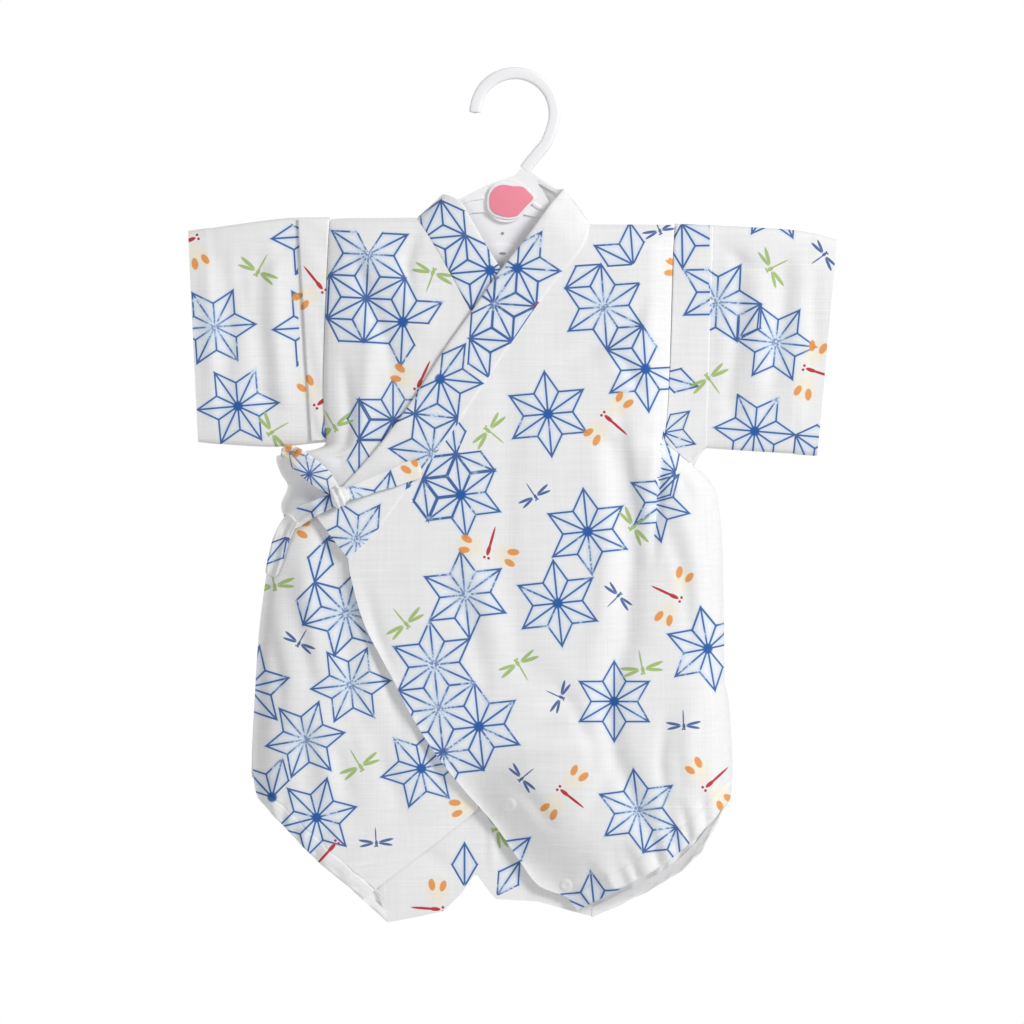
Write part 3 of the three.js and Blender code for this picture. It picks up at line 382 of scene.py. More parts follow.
small_back_creases = [
    (-0.9, 5, [(-92, -104), (-60, -116), (-20, -120), (30, -116), (70, -106)]),
    (0.7, 6, [(-84, -124), (-30, -138), (36, -134), (78, -122)]),
    (-0.8, 5, [(-100, -150), (-94, -190), (-104, -228)]),
    (0.6, 6, [(-58, -150), (-64, -220), (-60, -290)]),
    (-0.7, 4, [(-26, -180), (-32, -240), (-28, -300)]),
    (-0.8, 5, [(26, -170), (22, -240), (30, -310), (26, -352)]),
    (0.8, 6, [(44, -180), (46, -250), (50, -320)]),
    (-0.9, 4, [(82, -150), (86, -190), (80, -230)]),
    (-0.7, 4, [(96, -244), (94, -300), (104, -352)]),
    (0.7, 5, [(108, -256), (110, -320), (114, -372)]),
    (-0.8, 4, [(-126, -242), (-116, -280), (-122, -330)]),
    (0.7, 5, [(-134, -300), (-138, -350), (-134, -402)]),
    (-0.9, 4.5, [(-116, -370), (-110, -412), (-114, -446)]),
    (-0.8, 4, [(-64, -372), (-60, -420), (-66, -466)]),
    (0.6, 5, [(-34, -380), (-36, -420), (-30, -450)]),
    (-0.8, 4, [(96, -392), (92, -428), (84, -456)]),
    (0.8, 5, [(84, -380), (82, -420), (90, -450)]),
    (-0.7, 4, [(20, -420), (24, -452), (34, -480)]),
    (-0.7, 5, [(-14, -352), (6, -396), (12, -440)]),
    (-0.8, 1.7, [(-13, -449), (-14.5, -462), (-14.8, -477)]),
    (0.5, 5, [(-60, -462), (-44, -474), (-30, -484)]),
]


def crease_height(creases, x, z, keep_ends=False, crease_share=1.0):
    """Adds up the creases' heights; ends fade unless the whole table keeps them."""
    height = np.zeros(np.broadcast(x, z).shape)
    for rise, width, path in creases:
        distance, share = path_distance(path, x, z)
        taper = 1 if keep_ends else np.sin(np.pi * np.clip(share, 0.02, 0.98)) ** 0.6
        height += rise * crease_share * np.exp(-((distance / width) ** 2)) * taper
    return height


def slack(x, z, turn):
    """A slight, uneven waviness that thin cloth has everywhere."""
    c, s = math.cos(turn), math.sin(turn)
    a, b = x * c + z * s, z * c - x * s
    wave = np.sin(a / 7.3 + 1.7 * np.sin(b / 23)) * np.sin(b / 31 + 0.8 * np.sin(a / 17))
    fine = np.sin(a / 3.9 + 2.1 * np.sin(b / 13 + 1)) * np.sin(b / 14 + np.sin(a / 9))
    return 0.20 * wave + 0.09 * fine


# %% [markdown]
# ## Gathers at the leg hems
# An elastic runs in each hem casing and draws the leg in, so short creases stand square to the
# hem. Their places along the hem, lengths, rises and widths are rows of their own, uneven as
# gathers are, and the casing and the cloth above it read the same rows, so they run through.

# %% Hem paths and gather rows
hems = {
    "right_front": {
        "outer": [(127.9, -433.4), (108.3, -454.7), (86.1, -473), (64.5, -485.3), (37, -500.2)],
        "inner": [(128.7, -422), (102.8, -446.3), (80.6, -464.6), (59, -477), (30.6, -492.4)],
    },
    "right_back": {
        "outer": [(127.4, -435.2), (111.9, -464.6), (96.1, -479), (76.5, -490.3), (45.4, -504.9)],
        "inner": [(128.9, -422.4), (106.3, -455.4), (90.6, -470), (71, -481.4), (45.8, -492.8)],
    },
    "left_front": {
        "outer": [(-154.6, -432.7), (-136, -452.5), (-117.9, -471.2), (-92.2, -493.6)],
        "inner": [(-157.4, -420.4), (-133, -443.4), (-110, -465.4), (-85.2, -488.2)],
    },
    "left_back": {
        "outer": [(-154.5, -432.7), (-129, -458.6), (-104, -483.7), (-77.6, -507.9)],
        "inner": [(-157.5, -420.4), (-135.3, -441.9), (-110.3, -466), (-78.8, -494)],
    },
}
# share along the hem, length above the stitching, rise, width
gathers = {
    "right_front": [
        (0.07, 16, -1.2, 2.3), (0.13, 22, 1.0, 2.6), (0.19, 13, -1.5, 2.0), (0.26, 26, 1.1, 2.8),
        (0.31, 18, -1.3, 2.1), (0.39, 30, -1.2, 3.0), (0.45, 15, 1.1, 2.3), (0.51, 21, -1.5, 2.2),
        (0.58, 34, 1.0, 3.1), (0.64, 17, -1.3, 2.2), (0.71, 24, -1.2, 2.6), (0.77, 14, 1.2, 2.0),
        (0.83, 20, -1.4, 2.3), (0.91, 12, 1.0, 2.1),
    ],
    "right_back": [
        (0.08, 18, -1.3, 2.4), (0.15, 25, 1.1, 2.7), (0.24, 15, -1.4, 2.2), (0.31, 22, 1.0, 2.4),
        (0.37, 30, -1.3, 2.9), (0.46, 16, 1.2, 2.2), (0.53, 24, -1.4, 2.5), (0.60, 14, -1.1, 2.1),
        (0.68, 28, 1.1, 2.8), (0.76, 19, -1.4, 2.3), (0.85, 15, 1.0, 2.2), (0.92, 12, -1.1, 2.0),
    ],
    "left_front": [
        (0.08, 14, -1.0, 2.3), (0.17, 24, 0.9, 2.8), (0.25, 17, -1.3, 2.3), (0.36, 28, -1.1, 3.0),
        (0.44, 14, 1.0, 2.2), (0.55, 26, -1.3, 2.6), (0.63, 18, 0.9, 2.4), (0.73, 32, -1.2, 3.0),
        (0.82, 16, 1.0, 2.2), (0.91, 13, -1.0, 2.1),
    ],
    "left_back": [
        (0.06, 15, 1.0, 2.2), (0.14, 22, -1.3, 2.5), (0.23, 30, 1.0, 2.9), (0.31, 16, -1.4, 2.2),
        (0.40, 20, -1.1, 2.4), (0.48, 27, 1.1, 2.7), (0.57, 15, -1.3, 2.2), (0.65, 24, 1.0, 2.5),
        (0.74, 18, -1.4, 2.3), (0.83, 29, -1.1, 2.8), (0.92, 12, 1.0, 2.0),
    ],
}


def gather_creases(place):
    """Turns one hem's rows into creases that cross the casing and run up into the leg."""
    outer, inner = even_path(hems[place]["outer"]), even_path(hems[place]["inner"])
    creases = []
    for i, (share, length, rise, width) in enumerate(gathers[place]):
        (ox, oz), (ix, iz) = outer(share), inner(share)
        reach = math.hypot(ix - ox, iz - oz)
        dx, dz = (ix - ox) / reach, (iz - oz) / reach
        lean = 0.16 * math.sin(2.3 * i + 1)
        up_x, up_z = dx - lean * dz, dz + lean * dx
        middle = (ix + up_x * length * 0.45, iz + up_z * length * 0.45)
        top = (ix + up_x * length + 1.5 * lean * length, iz + up_z * length)
        creases.append((rise, width, [(ox - dx * 4, oz - dz * 4), (ix, iz), middle, top]))
    return creases


def gather_height(place, x, z):
    height = np.zeros(np.broadcast(x, z).shape)
    for rise, width, path in gather_creases(place):
        distance, share = path_distance(path, x, z)
        fade = 1 - ease(share, 0.4, 1.0)
        height += rise * fade * np.exp(-((distance / (width * (1 + 0.9 * share))) ** 2))
    return height


print("gathers in the four hems:", sum(len(rows) for rows in gathers.values()))

# %% Faces of the front and back, as depths y at x, z
layer_step = 2.4               # how far the upper front lies above the lower one


def side_fade(x, z):
    to_side = np.where(z < shoulder_z, np.minimum(x - left_at(z), right_at(z) - x), 0)
    return ease(to_side, 2, 16)


def inner_back(x, z):
    folds = crease_height(large_back_creases, x, z, keep_ends=True) * side_fade(x, z)
    return np.maximum(body_gap(x, z) + folds, fold_gap)


def inner_under(x, z):
    folds = crease_height(large_front_creases, x, z, keep_ends=True) * side_fade(x, z)
    return -np.maximum(body_gap(x, z) + folds, fold_gap)


def slopes(depth, x, z, reach):
    slope_x = (depth(x + reach, z) - depth(x - reach, z)) / (2 * reach)
    slope_z = (depth(x, z + reach) - depth(x, z - reach)) / (2 * reach)
    return slope_x, slope_z


def inner_over(x, z):
    to_top = path_distance(top_fold_right, x, z)[0]
    to_side = np.where(z < shoulder_z, right_at(z) - x, to_top)
    lift = layer_step * ease(to_top, 3, 20) * ease(to_side, 1, 14)
    slope_x, slope_z = slopes(inner_under, x, z, 3)
    return inner_under(x, z) - lift * np.minimum(np.sqrt(1 + slope_x**2 + slope_z**2), 1.8)


def raise_from(depth, x, z, facing, height):
    """Points standing `height` above a face, square to it; facing is -1 for the front."""
    slope_x, slope_z = slopes(depth, x, z, 0.6)
    length = np.sqrt(1 + slope_x**2 + slope_z**2)
    y = depth(x, z)
    px = x - slope_x * facing * height / length
    pz = z - slope_z * facing * height / length
    return np.stack([px, y + facing * height / length, pz], axis=-1)


print("upper front at the chest stands at y =", round(float(inner_over(20.0, -200.0)), 1), "mm")

# %% [markdown]
# ## From a flat grid to a shaped piece
# A sewing pattern is a flat grid of cloth before it hangs. So each piece starts as Blender's grid
# primitive, whose own x and y are the shares across and down the piece. Every corner is then
# moved to where that share of the piece hangs, and a Solidify modifier gives the cloth its
# thickness. Modelling such wide, nearly flat shells by pulling faces would lose the even mesh
# that the soft creases need.

# %% Grid helpers


def numbers(items, name, width=3, kind=float):
    """Reads one property of all of a mesh's corners, loops or faces."""
    values = np.empty(len(items) * width, kind)
    items.foreach_get(name, values)
    return values.reshape(-1, width) if width > 1 else values


def select_only(*pieces):
    """Selects these pieces alone; the first becomes the active one."""
    bpy.ops.object.select_all(action="DESELECT")
    for piece in pieces:
        piece.select_set(True)
    bpy.context.view_layer.objects.active = pieces[0]


def from_grid(name, across, down, shape):
    """A grid whose corners are placed by shape(u, v), in millimetres; v runs downwards."""
    bpy.ops.object.select_all(action="DESELECT")
    bpy.ops.mesh.primitive_grid_add(x_subdivisions=across, y_subdivisions=down, size=1)
    piece = bpy.context.object
    piece.name = name
    flat = numbers(piece.data.vertices, "co")
    placed = shape(flat[:, 0] + 0.5, 0.5 - flat[:, 1])
    piece.data.vertices.foreach_set("co", (placed * MM).ravel())
    piece.data.update()
    return piece


def turn_faces(piece, outward_sign):
    """Flips the faces if their mean y doesn't look the given way."""
    if numbers(piece.data.polygons, "normal")[:, 1].mean() * outward_sign < 0:
        edit(piece, bpy.ops.mesh.flip_normals)


def edit(piece, operator, **settings):
    """Runs one edit-mode operator on the whole piece."""
    select_only(piece)
    bpy.ops.object.mode_set(mode="EDIT")
    bpy.ops.mesh.select_all(action="SELECT")
    operator(**settings)
    bpy.ops.object.mode_set(mode="OBJECT")


def give_thickness(piece, thickness):
    """Thickens the shell inwards; the inner face takes the second material."""
    select_only(piece)
    piece.data.materials.append(cotton_outside)
    piece.data.materials.append(cotton_inside)
    wall = piece.modifiers.new("cloth thickness", "SOLIDIFY")
    wall.thickness = thickness * MM
    wall.offset = -1
    wall.material_offset = 1
    bpy.ops.object.modifier_apply(modifier=wall.name)
    bpy.ops.object.shade_smooth_by_angle(angle=math.radians(55))


def join(name, pieces):
    """Joins pieces into one object."""
    select_only(*pieces)
    bpy.ops.object.join()
    pieces[0].name = name
    return pieces[0]


# %% [markdown]
# ## The print
# The cotton carries two traditional motifs: stars of the asanoha (hemp leaf) pattern, drawn in
# blue lines, and small dragonflies in blue, green, and red with orange wing tips. They are
# scattered, and every panel is cut from the cloth at its own angle. Each motif is a row with
# its place, turn and kind. A face of cloth keeps, at its corners, where they lie in the nearest
# motif's own measures, so that the material can draw the motif's lines exactly there.

# %% Stars: x, z, turn, radius, centre (0 plain, 1 dark, 2 pale), ways of the kites present, cut
pleat = [(89.9, -196), (83, -270)]
left_fold = [(-131, -230), (-131, -84)]
right_fold = [(116, -230), (116, -84)]
stars_front_over = [
    (18.9, -201.8, 35, 25.6, 1), (52.5, -137.6, 34, 25.8, 2),
    (77.5, -174.7, 34, 25.8, 1, (334, 274, 214, 154, 94)),
    (54.3, -163.4, 34, 25.8, 0, (334, 94, 34)),
    (75.7, -148.9, 34, 25.8, 0, (274, 214, 154)), (50.7, -111.9, 34, 25.8, 0, (274, 214)),
    (42.6, -272.3, 36, 25.8, 1), (24.6, -315.2, 36, 25.8, 1), (-33.3, -250.4, 37, 25.5, 1),
    (-55.9, -240.8, 37, 25.5, 0, (337, 277, 37)), (-36.3, -226, 37, 25.5, 0, (337, 277, 217, 97)),
    (-52.9, -265.2, 37, 25.5, 0, (97, 37)), (-22.5, -389, 36, 26.4, 1),
    (-46.6, -378.3, 36, 26.4, 2),
    (-43.9, -404.5, 36, 26.4, 0), (-49.4, -352, 36, 26.4, 2), (-30.8, -310.2, 36, 26.4, 2),
    (58.5, -374, 30, 24, 1), (72.9, -439.4, 37, 25, 2), (95.9, -449.2, 37, 25, 0, (217, 277)),
    (114.6, -342.5, 40, 25.5, 1, (280, 220, 160, 100, 40)),
    (110.2, -317.7, 40, 25.5, 0, (280,)), (47, -501, 36, 25, 0, (96, 36, 156)),
    (91.3, -254, 34, 24.8, 0, (154, 214), pleat[::-1]),
    (80.4, -255.2, 45, 24, 0, (345, 285, 45), pleat),
    (95.4, -236.5, 47, 24.5, 0, (107, 167, 227), pleat), (70, -112, 34, 25.8, 0, (94, 154)),
    (-12.2, -472.7, 39, 26, 0, (39,)),
]
stars_front_under = [
    (-90.3, -132.2, 27, 26.4, 0), (-88.9, -105.9, 27, 26.4, 2, (327, 267, 207, 147, 27)),
    (-68.2, -146.6, 27, 26.4, 1, (267, 207, 147, 87, 27)),
    (-112.4, -117.9, 27, 26.4, 0, (327, 267, 27)),
    (-113.8, -144.2, 27, 26.4, 0, (327, 27)), (-74.1, -205.4, 30, 24.5, 0),
    (-94.4, -217.1, 30, 24.5, 0, (30, 270, 90)), (-102.3, -321.2, 15, 26.4, 2),
    (-121, -302.6, 15, 26.4, 0, (315, 255, 75)), (-114.1, -277.1, 15, 26.4, 0, (255, 15)),
    (-99.3, -364.1, 6, 24, 2), (-126.6, -396.8, 10, 24, 2), (-119.7, -443.6, 15, 24.5, 1),
    (-146.5, -431.5, 15, 24.5, 1, (75, 135)), (-57, -414.2, 12, 24.5, 1),
    (-161.7, -366.2, 14, 26, 0, (14, 314, 74)), (-30, -372, 14, 26, 0), (8, -330, 20, 26, 1),
    (10, -250, 20, 26, 1), (-4, -205, 20, 26, 2),
]
stars_flaps = [(-11.7, -491.5, 56, 24.5, 0, (56,)), (-31.3, -486.1, 90, 26, 0, (90,))]
stars_over_band = [
    (0.5, -114.2, 56, 26, 1, (356, 296, 236, 176, 56)),
    (-13.8, -135.4, 56, 26, 0, (356, 296, 116, 56)),
    (11.7, -137.2, 56, 26, 0, (236, 176, 116)), (-28, -156.5, 56, 26, 0, (356, 56, 296)),
    (-2.6, -158.3, 56, 26, 0, (176, 116, 56)), (-25, -112.5, 56, 26, 0, (356, 296, 116)),
    (-45.9, -180.8, 54, 25.8, 1, (354, 294, 234, 54)),
    (-35.4, -204.4, 54, 25.8, 0, (234, 174, 114)),
    (-61.1, -201.7, 54, 25.8, 0, (354, 294, 174, 54)),
    (-50.6, -225.3, 54, 25.8, 2, (234, 174, 114, 54, 354)),
    (-95.7, -276.8, 56, 24.5, 2),
]
stars_under_band = [
    (-15.9, -115.4, 5, 26, 1, (305, 245, 185, 125, 5)), (-41.6, -117.7, 5, 26, 0, (305, 65, 5)),
    (-30.7, -94.3, 5, 26, 0, (305, 245)), (-56.4, -96.6, 5, 26, 0, (65, 5)),
    (-45.5, -73.2, 5, 26, 0, (305,)), (12, -160, 8, 26, 1), (40, -210, 8, 26, 2),
]
stars_sleeve_left = [
    (-181.2, -149.3, 4, 24.5, 2), (-167.4, -197, 5, 24.5, 1),
    (-120.6, -149.3, 4, 25.8, 0, (184, 244, 124), left_fold),
    (-121.5, -94.5, 4, 25.8, 0, (184, 244), left_fold), (-117, -214.1, 52, 25, 0, (352, 52)),
]
stars_sleeve_right = [
    (124, -128.2, 31, 27, 0, (151, 211), right_fold),
    (99.4, -87.2, 31, 27, 0, (271, 331), right_fold),
    (120.5, -134.3, 57, 26.4, 2, (57, 357, 297, 117, 237), right_fold[::-1]),
    (155.9, -158.9, 54, 24.2, 2), (133.2, -156.9, 57, 25.5, 0, (57,)), (143.2, -212, 55, 24.4, 1),
    (167.7, -214.3, 55, 24.5, 0, (295, 355)), (156, -73, 54, 24.8, 0, (234, 294)),
    (88.6, -212.9, 40, 20, 0, (40, 340)), (84.5, -178, 44, 25.5, 0, (344,), right_fold),
]
stars_back = [
    (-74, -112, 22, 26, 1), (-49.9, -102.3, 22, 26, 0, (202, 262, 322)), (8, -118, 24, 26, 2),
    (62, -136, 26, 26, 1), (38.6, -124.6, 26, 26, 0, (326, 266)), (-22, -178, 22, 26, 1),
    (-96, -176, 20, 26, 2), (74, -204, 27, 26, 1), (-56, -232, 22, 26, 1),
    (-65.7, -256.1, 22, 26, 2, (202, 262, 142)), (16, -238, 24, 26, 1),
    (39.7, -248.6, 24, 26, 0, (264, 324)),
    (102, -268, 27, 26, 2), (-118, -288, 18, 26, 1), (-20, -300, 23, 26, 1), (64, -312, 26, 26, 2),
    (-74, -340, 20, 26, 1), (-49.6, -331.1, 20, 26, 0, (20, 80)), (14, -352, 24, 26, 1),
    (106, -356, 27, 26, 1), (-128, -372, 17, 26, 2), (-22, -396, 23, 26, 2), (44, -404, 25, 26, 1),
    (33, -427.6, 25, 26, 0, (205, 265)), (-84, -422, 18, 26, 1), (98, -424, 28, 26, 2),
    (-128, -436, 17, 26, 0, (77, 137)), (22, -466, 24, 26, 1), (-66, -482, 18, 26, 2),
    (70, -478, 26, 26, 1),
]
stars_sleeve_back = [
    (-168, -112, 8, 26, 1), (-142.3, -108.4, 8, 26, 0, (248, 308)), (-178, -178, 5, 26, 2),
    (-134, -196, 7, 26, 1), (112, -120, 52, 26, 2), (164, -130, 54, 26, 1), (140, -182, 53, 26, 1),
    (155.6, -202.8, 53, 26, 0, (233, 293)), (106, -214, 50, 26, 1, (110, 170, 50)),
]
stars_ties = [
    (-123.9, -237.8, 12, 19, 0), (-80, -262, 20, 26, 0, (80, 140)),
    (-112, -250, 15, 26, 0, (195, 255)),
    (-137.7, -275.6, 50, 22, 0, (230, 290)),
]

# %% Dragonflies: x, z, way of the tail, kind (0 blue, 1 green, 2 red, 3 red body only)
flies_front_over = [
    (11.1, -251.4, 123, 0), (61.2, -310.8, 224, 0), (-16.8, -211.6, -40, 1), (70, -269.4, 33, 1),
    (54.5, -204, -41, 2), (-17, -284.5, 74, 2), (95, -311.5, 155, 2), (26.4, -371.6, 155, 0),
    (99.9, -388.4, 92, 0), (3, -420.2, 40, 0), (0.9, -351.2, -60, 1), (75.3, -354.8, 100, 1),
    (28, -428, -38, 2), (115, -424, 40, 2), (86, -91.5, 110, 0),
    (106.5, -116.5, 80, 2), (-66.3, -327.7, 129, 1),
]
flies_front_under = [
    (-82.7, -292, -45, 0), (-130.5, -339.2, 60, 0), (-84.3, -459.2, 92, 0),
    (-93.6, -413, 120, 1), (-109.5, -209.6, 120, 1), (-147.3, -212.6, 20, 1),
    (-145.5, -305, 100, 1),
    (-58.5, -184, 65, 2), (-22.2, -437.1, 99, 2), (-110, -461, 228, 3), (-50, -117, 250, 1),
    (-141.5, -266.4, -105, 2),
]
flies_flaps = [(-48, -499.8, 176, 2), (-12.1, -451.3, 21, 1)]
flies_over_band = [(14.4, -139, -50, 3)]
flies_under_band = []
flies_sleeve_left = [
    (-155.7, -116, 60, 1), (-195, -96.5, 202, 2), (-118, -125, 129, 2), (-147.3, -212.6, 30, 1),
    (-118, -195, 40, 2),
]
flies_sleeve_right = [
    (152.7, -114.2, 26, 1), (185, -106, 215, 0), (115.5, -180, -55, 1), (176, -175, -18, 2),
]
flies_back = [
    (-20, -142, 60, 0), (-104, -140, 120, 1), (30, -196, -30, 2), (-62, -186, 200, 0),
    (100, -172, 80, 1), (-16, -216, 20, 1), (70, -240, 160, 0), (-104, -228, -60, 2),
    (-92, -288, 70, 0), (20, -280, 120, 2), (96, -306, 30, 0), (-34, -340, -20, 1),
    (-100, -388, 150, 1), (40, -372, 60, 0), (78, -372, 210, 2), (-50, -424, 100, 2),
    (10, -428, 40, 1), (-12, -448, -70, 0), (118, -402, 20, 1), (-104, -466, 60, 0),
    (52, -452, 130, 2), (-146, -408, 80, 0),
]
flies_sleeve_back = [
    (-134, -106, 40, 0), (-186, -144, 120, 1), (-150, -164, -30, 2), (-182, -208, 60, 0),
    (140, -110, 20, 0), (186, -150, 100, 1), (118, -158, 200, 2), (176, -214, 40, 2),
]
flies_ties = [(-140.7, -236, 150, 2), (-53.1, -242.6, 225, 2)]
star_tables = [stars_front_over, stars_front_under, stars_over_band, stars_back]
print("stars on the body:", sum(len(rows) for rows in star_tables))

# %% Writing the print's measures into a piece
far_away = (9.0, 9.0, 0.0)
star_reach = 1.08              # of a star's radius, so that its lines keep their whole width
fly_reach = 24                 # mm round a dragonfly's middle
fly_size = {0: 10.5, 1: 13.0, 2: 10.0, 3: 10.0}
all_kites = 63


def local_measures(x, z, motif_x, motif_z, turn, size):
    c, s = math.cos(math.radians(turn)), math.sin(math.radians(turn))
    dx, dz = x - motif_x, z - motif_z
    return (dx * c + dz * s) / size, (dz * c - dx * s) / size


def choose_motifs(rows, face_x, face_z, reach_of, layers):
    """For every face, the nearest motifs within reach, as row numbers; -1 where there is none.

    A star with a cut, where a pleat ends it, shows only at the left of the cut's way.
    """
    if not rows:
        return np.full((layers, len(face_x)), -1)
    distance = np.array([np.hypot(face_x - row[0], face_z - row[1]) for row in rows])
    reach = np.array([reach_of(row) for row in rows])[:, None]
    score = np.where(distance < reach, distance, 1e9)
    for i, row in enumerate(rows):
        if len(row) > 6:
            (ax, az), (bx, bz) = row[6]
            left_of_cut = (bx - ax) * (face_z - az) - (bz - az) * (face_x - ax) > 0
            score[i] = np.where(left_of_cut, score[i], 1e9)
    order = np.argsort(score, axis=0)[:layers]
    best = np.take_along_axis(score, order, axis=0)
    picks = np.full((layers, len(face_x)), -1)
    picks[: len(order)] = np.where(best < 1e8, order, -1)
    return picks


def star_code(row):
    """One number for a star's centre and the kites that it has: the shader takes it apart again."""
    kites = all_kites
    if len(row) > 5:
        kites = sum(2 ** (round((way - row[2]) / 60) % 6) for way in row[5])
    return row[4] + 4.0 * kites


def print_on(piece, areas):
    """areas: rows of (where, stars, dragonflies); where names one of `parts`."""
    mesh = piece.data
    corners = numbers(mesh.vertices, "co") / MM
    loop_vertex = numbers(mesh.loops, "vertex_index", 1, int)
    counts = numbers(mesh.polygons, "loop_total", 1, int)
    loop_face = np.repeat(np.arange(len(counts)), counts)
    centres = numbers(mesh.polygons, "center") / MM
    looks_back = numbers(mesh.polygons, "normal")[:, 1] > 0.25
    face_x, face_z = centres[:, 0], centres[:, 2]
    x, z = corners[loop_vertex, 0], corners[loop_vertex, 2]
    names = ("star_a", "star_b", "star_c", "dragonfly")
    layers = {name: np.tile(far_away, (len(loop_vertex), 1)) for name in names}
    parts = {
        "all": np.ones(len(centres), bool), "front": centres[:, 1] < 0, "back": centres[:, 1] >= 0,
        "flaps": flap_faces(piece, face_x, face_z), "outer back": looks_back,
    }
    for where, stars, flies in areas:
        part = parts[where]
        star_picks = choose_motifs(stars, face_x, face_z, lambda row: row[3] * star_reach, 3)
        fly_picks = choose_motifs(flies, face_x, face_z, lambda row: fly_reach, 1)
        for name, pick in zip(names, (*star_picks, *fly_picks)):
            layers[name][part[loop_face]] = far_away
            for i, row in enumerate(flies if name == "dragonfly" else stars):
                mine = ((pick == i) & part)[loop_face]
                if name == "dragonfly":
                    turn, size, code = row[2] - 90, fly_size[row[3]], row[3]
                else:
                    turn, size, code = row[2], row[3], star_code(row)
                u, v = local_measures(x[mine], z[mine], row[0], row[1], turn, size)
                layers[name][mine] = np.stack([u, v, np.full(len(u), float(code))], axis=1)
    for name, values in layers.items():
        kept = mesh.attributes.new(name, "FLOAT_VECTOR", "CORNER")
        kept.data.foreach_set("vector", values.ravel())


def flap_faces(piece, face_x, face_z):
    """Faces of the crotch's flaps that look forwards; they show the cloth's outside too."""
    if piece.name != "back_cloth":
        return np.zeros(len(face_x), bool)
    between = (face_x > inseams[0][0] - 4) & (face_x < inseams[-1][0] + 4)
    below = face_z < inseam_at(face_x) + 8
    return between & below & (numbers(piece.data.polygons, "normal")[:, 1] < 0)


# %% [markdown]
# ## Printed cotton as a material
# Slub cotton is matt and a little uneven in its threads, with a pale blue halo along the printed
# lines. Its reverse shows the print faintly and gives off a faint painted glow, which stands for
# light coming through the thin cloth. The stars are drawn by folding the twelve equal sectors of a
# star into one and measuring the distance to its three lines. Noise breaks the lines here and
# there, as a rubbed stamp would. The dragonflies are a few ellipses each. Thread relief is a fine
# bump from stretched noise along and across the cloth.

# %% Node helpers


def maths(tree, operation, a, b=None, c=None):
    """One Math node; a, b and c are numbers or other nodes' sockets."""
    node = tree.nodes.new("ShaderNodeMath")
    node.operation = operation
    for i, value in enumerate((a, b, c)):
        if value is None:
            continue
        if isinstance(value, (int, float)):
            node.inputs[i].default_value = value
        else:
            tree.links.new(value, node.inputs[i])
    return node.outputs[0]


def times(tree, a, b):
    return maths(tree, "MULTIPLY", a, b)


def plus(tree, a, b):
    return maths(tree, "ADD", a, b)


def minus(tree, a, b):
    return maths(tree, "SUBTRACT", a, b)


def soft_step(tree, value, start, end):
    """0 at start, 1 at end; start may be the larger one."""
    node = tree.nodes.new("ShaderNodeMapRange")
    node.interpolation_type = "SMOOTHSTEP"
    tree.links.new(value, node.inputs["Value"])
    low, high = min(start, end), max(start, end)
    node.inputs["From Min"].default_value = low
    node.inputs["From Max"].default_value = high
    node.inputs["To Min"].default_value = 0.0 if start < end else 1.0
    node.inputs["To Max"].default_value = 1.0 if start < end else 0.0
    return node.outputs["Result"]


def new_group(name, inputs, outputs):
    group = bpy.data.node_groups.new(name, "ShaderNodeTree")
    for label in inputs:
        group.interface.new_socket(label, in_out="INPUT", socket_type="NodeSocketVector")
    for label in outputs:
        group.interface.new_socket(label, in_out="OUTPUT", socket_type="NodeSocketFloat")
    return group, group.nodes.new("NodeGroupInput"), group.nodes.new("NodeGroupOutput")


# %% One star
line_half_width = 0.022        # of the star's radius
cos_sixty, sin_sixty = 0.5, 0.866


def has_kite(tree, kites, angle):
    """1 where the star has the kite that lies this way; the kites are the bits of one number."""
    turns = maths(tree, "FLOOR", maths(tree, "DIVIDE", angle, math.pi / 3))
    sixth = maths(tree, "MODULO", turns, 6.0)
    bit = maths(tree, "FLOOR", maths(tree, "DIVIDE", kites, maths(tree, "POWER", 2.0, sixth)))
    odd = maths(tree, "MODULO", plus(tree, bit, 0.01), 2.0)
    return maths(tree, "GREATER_THAN", odd, 0.5)


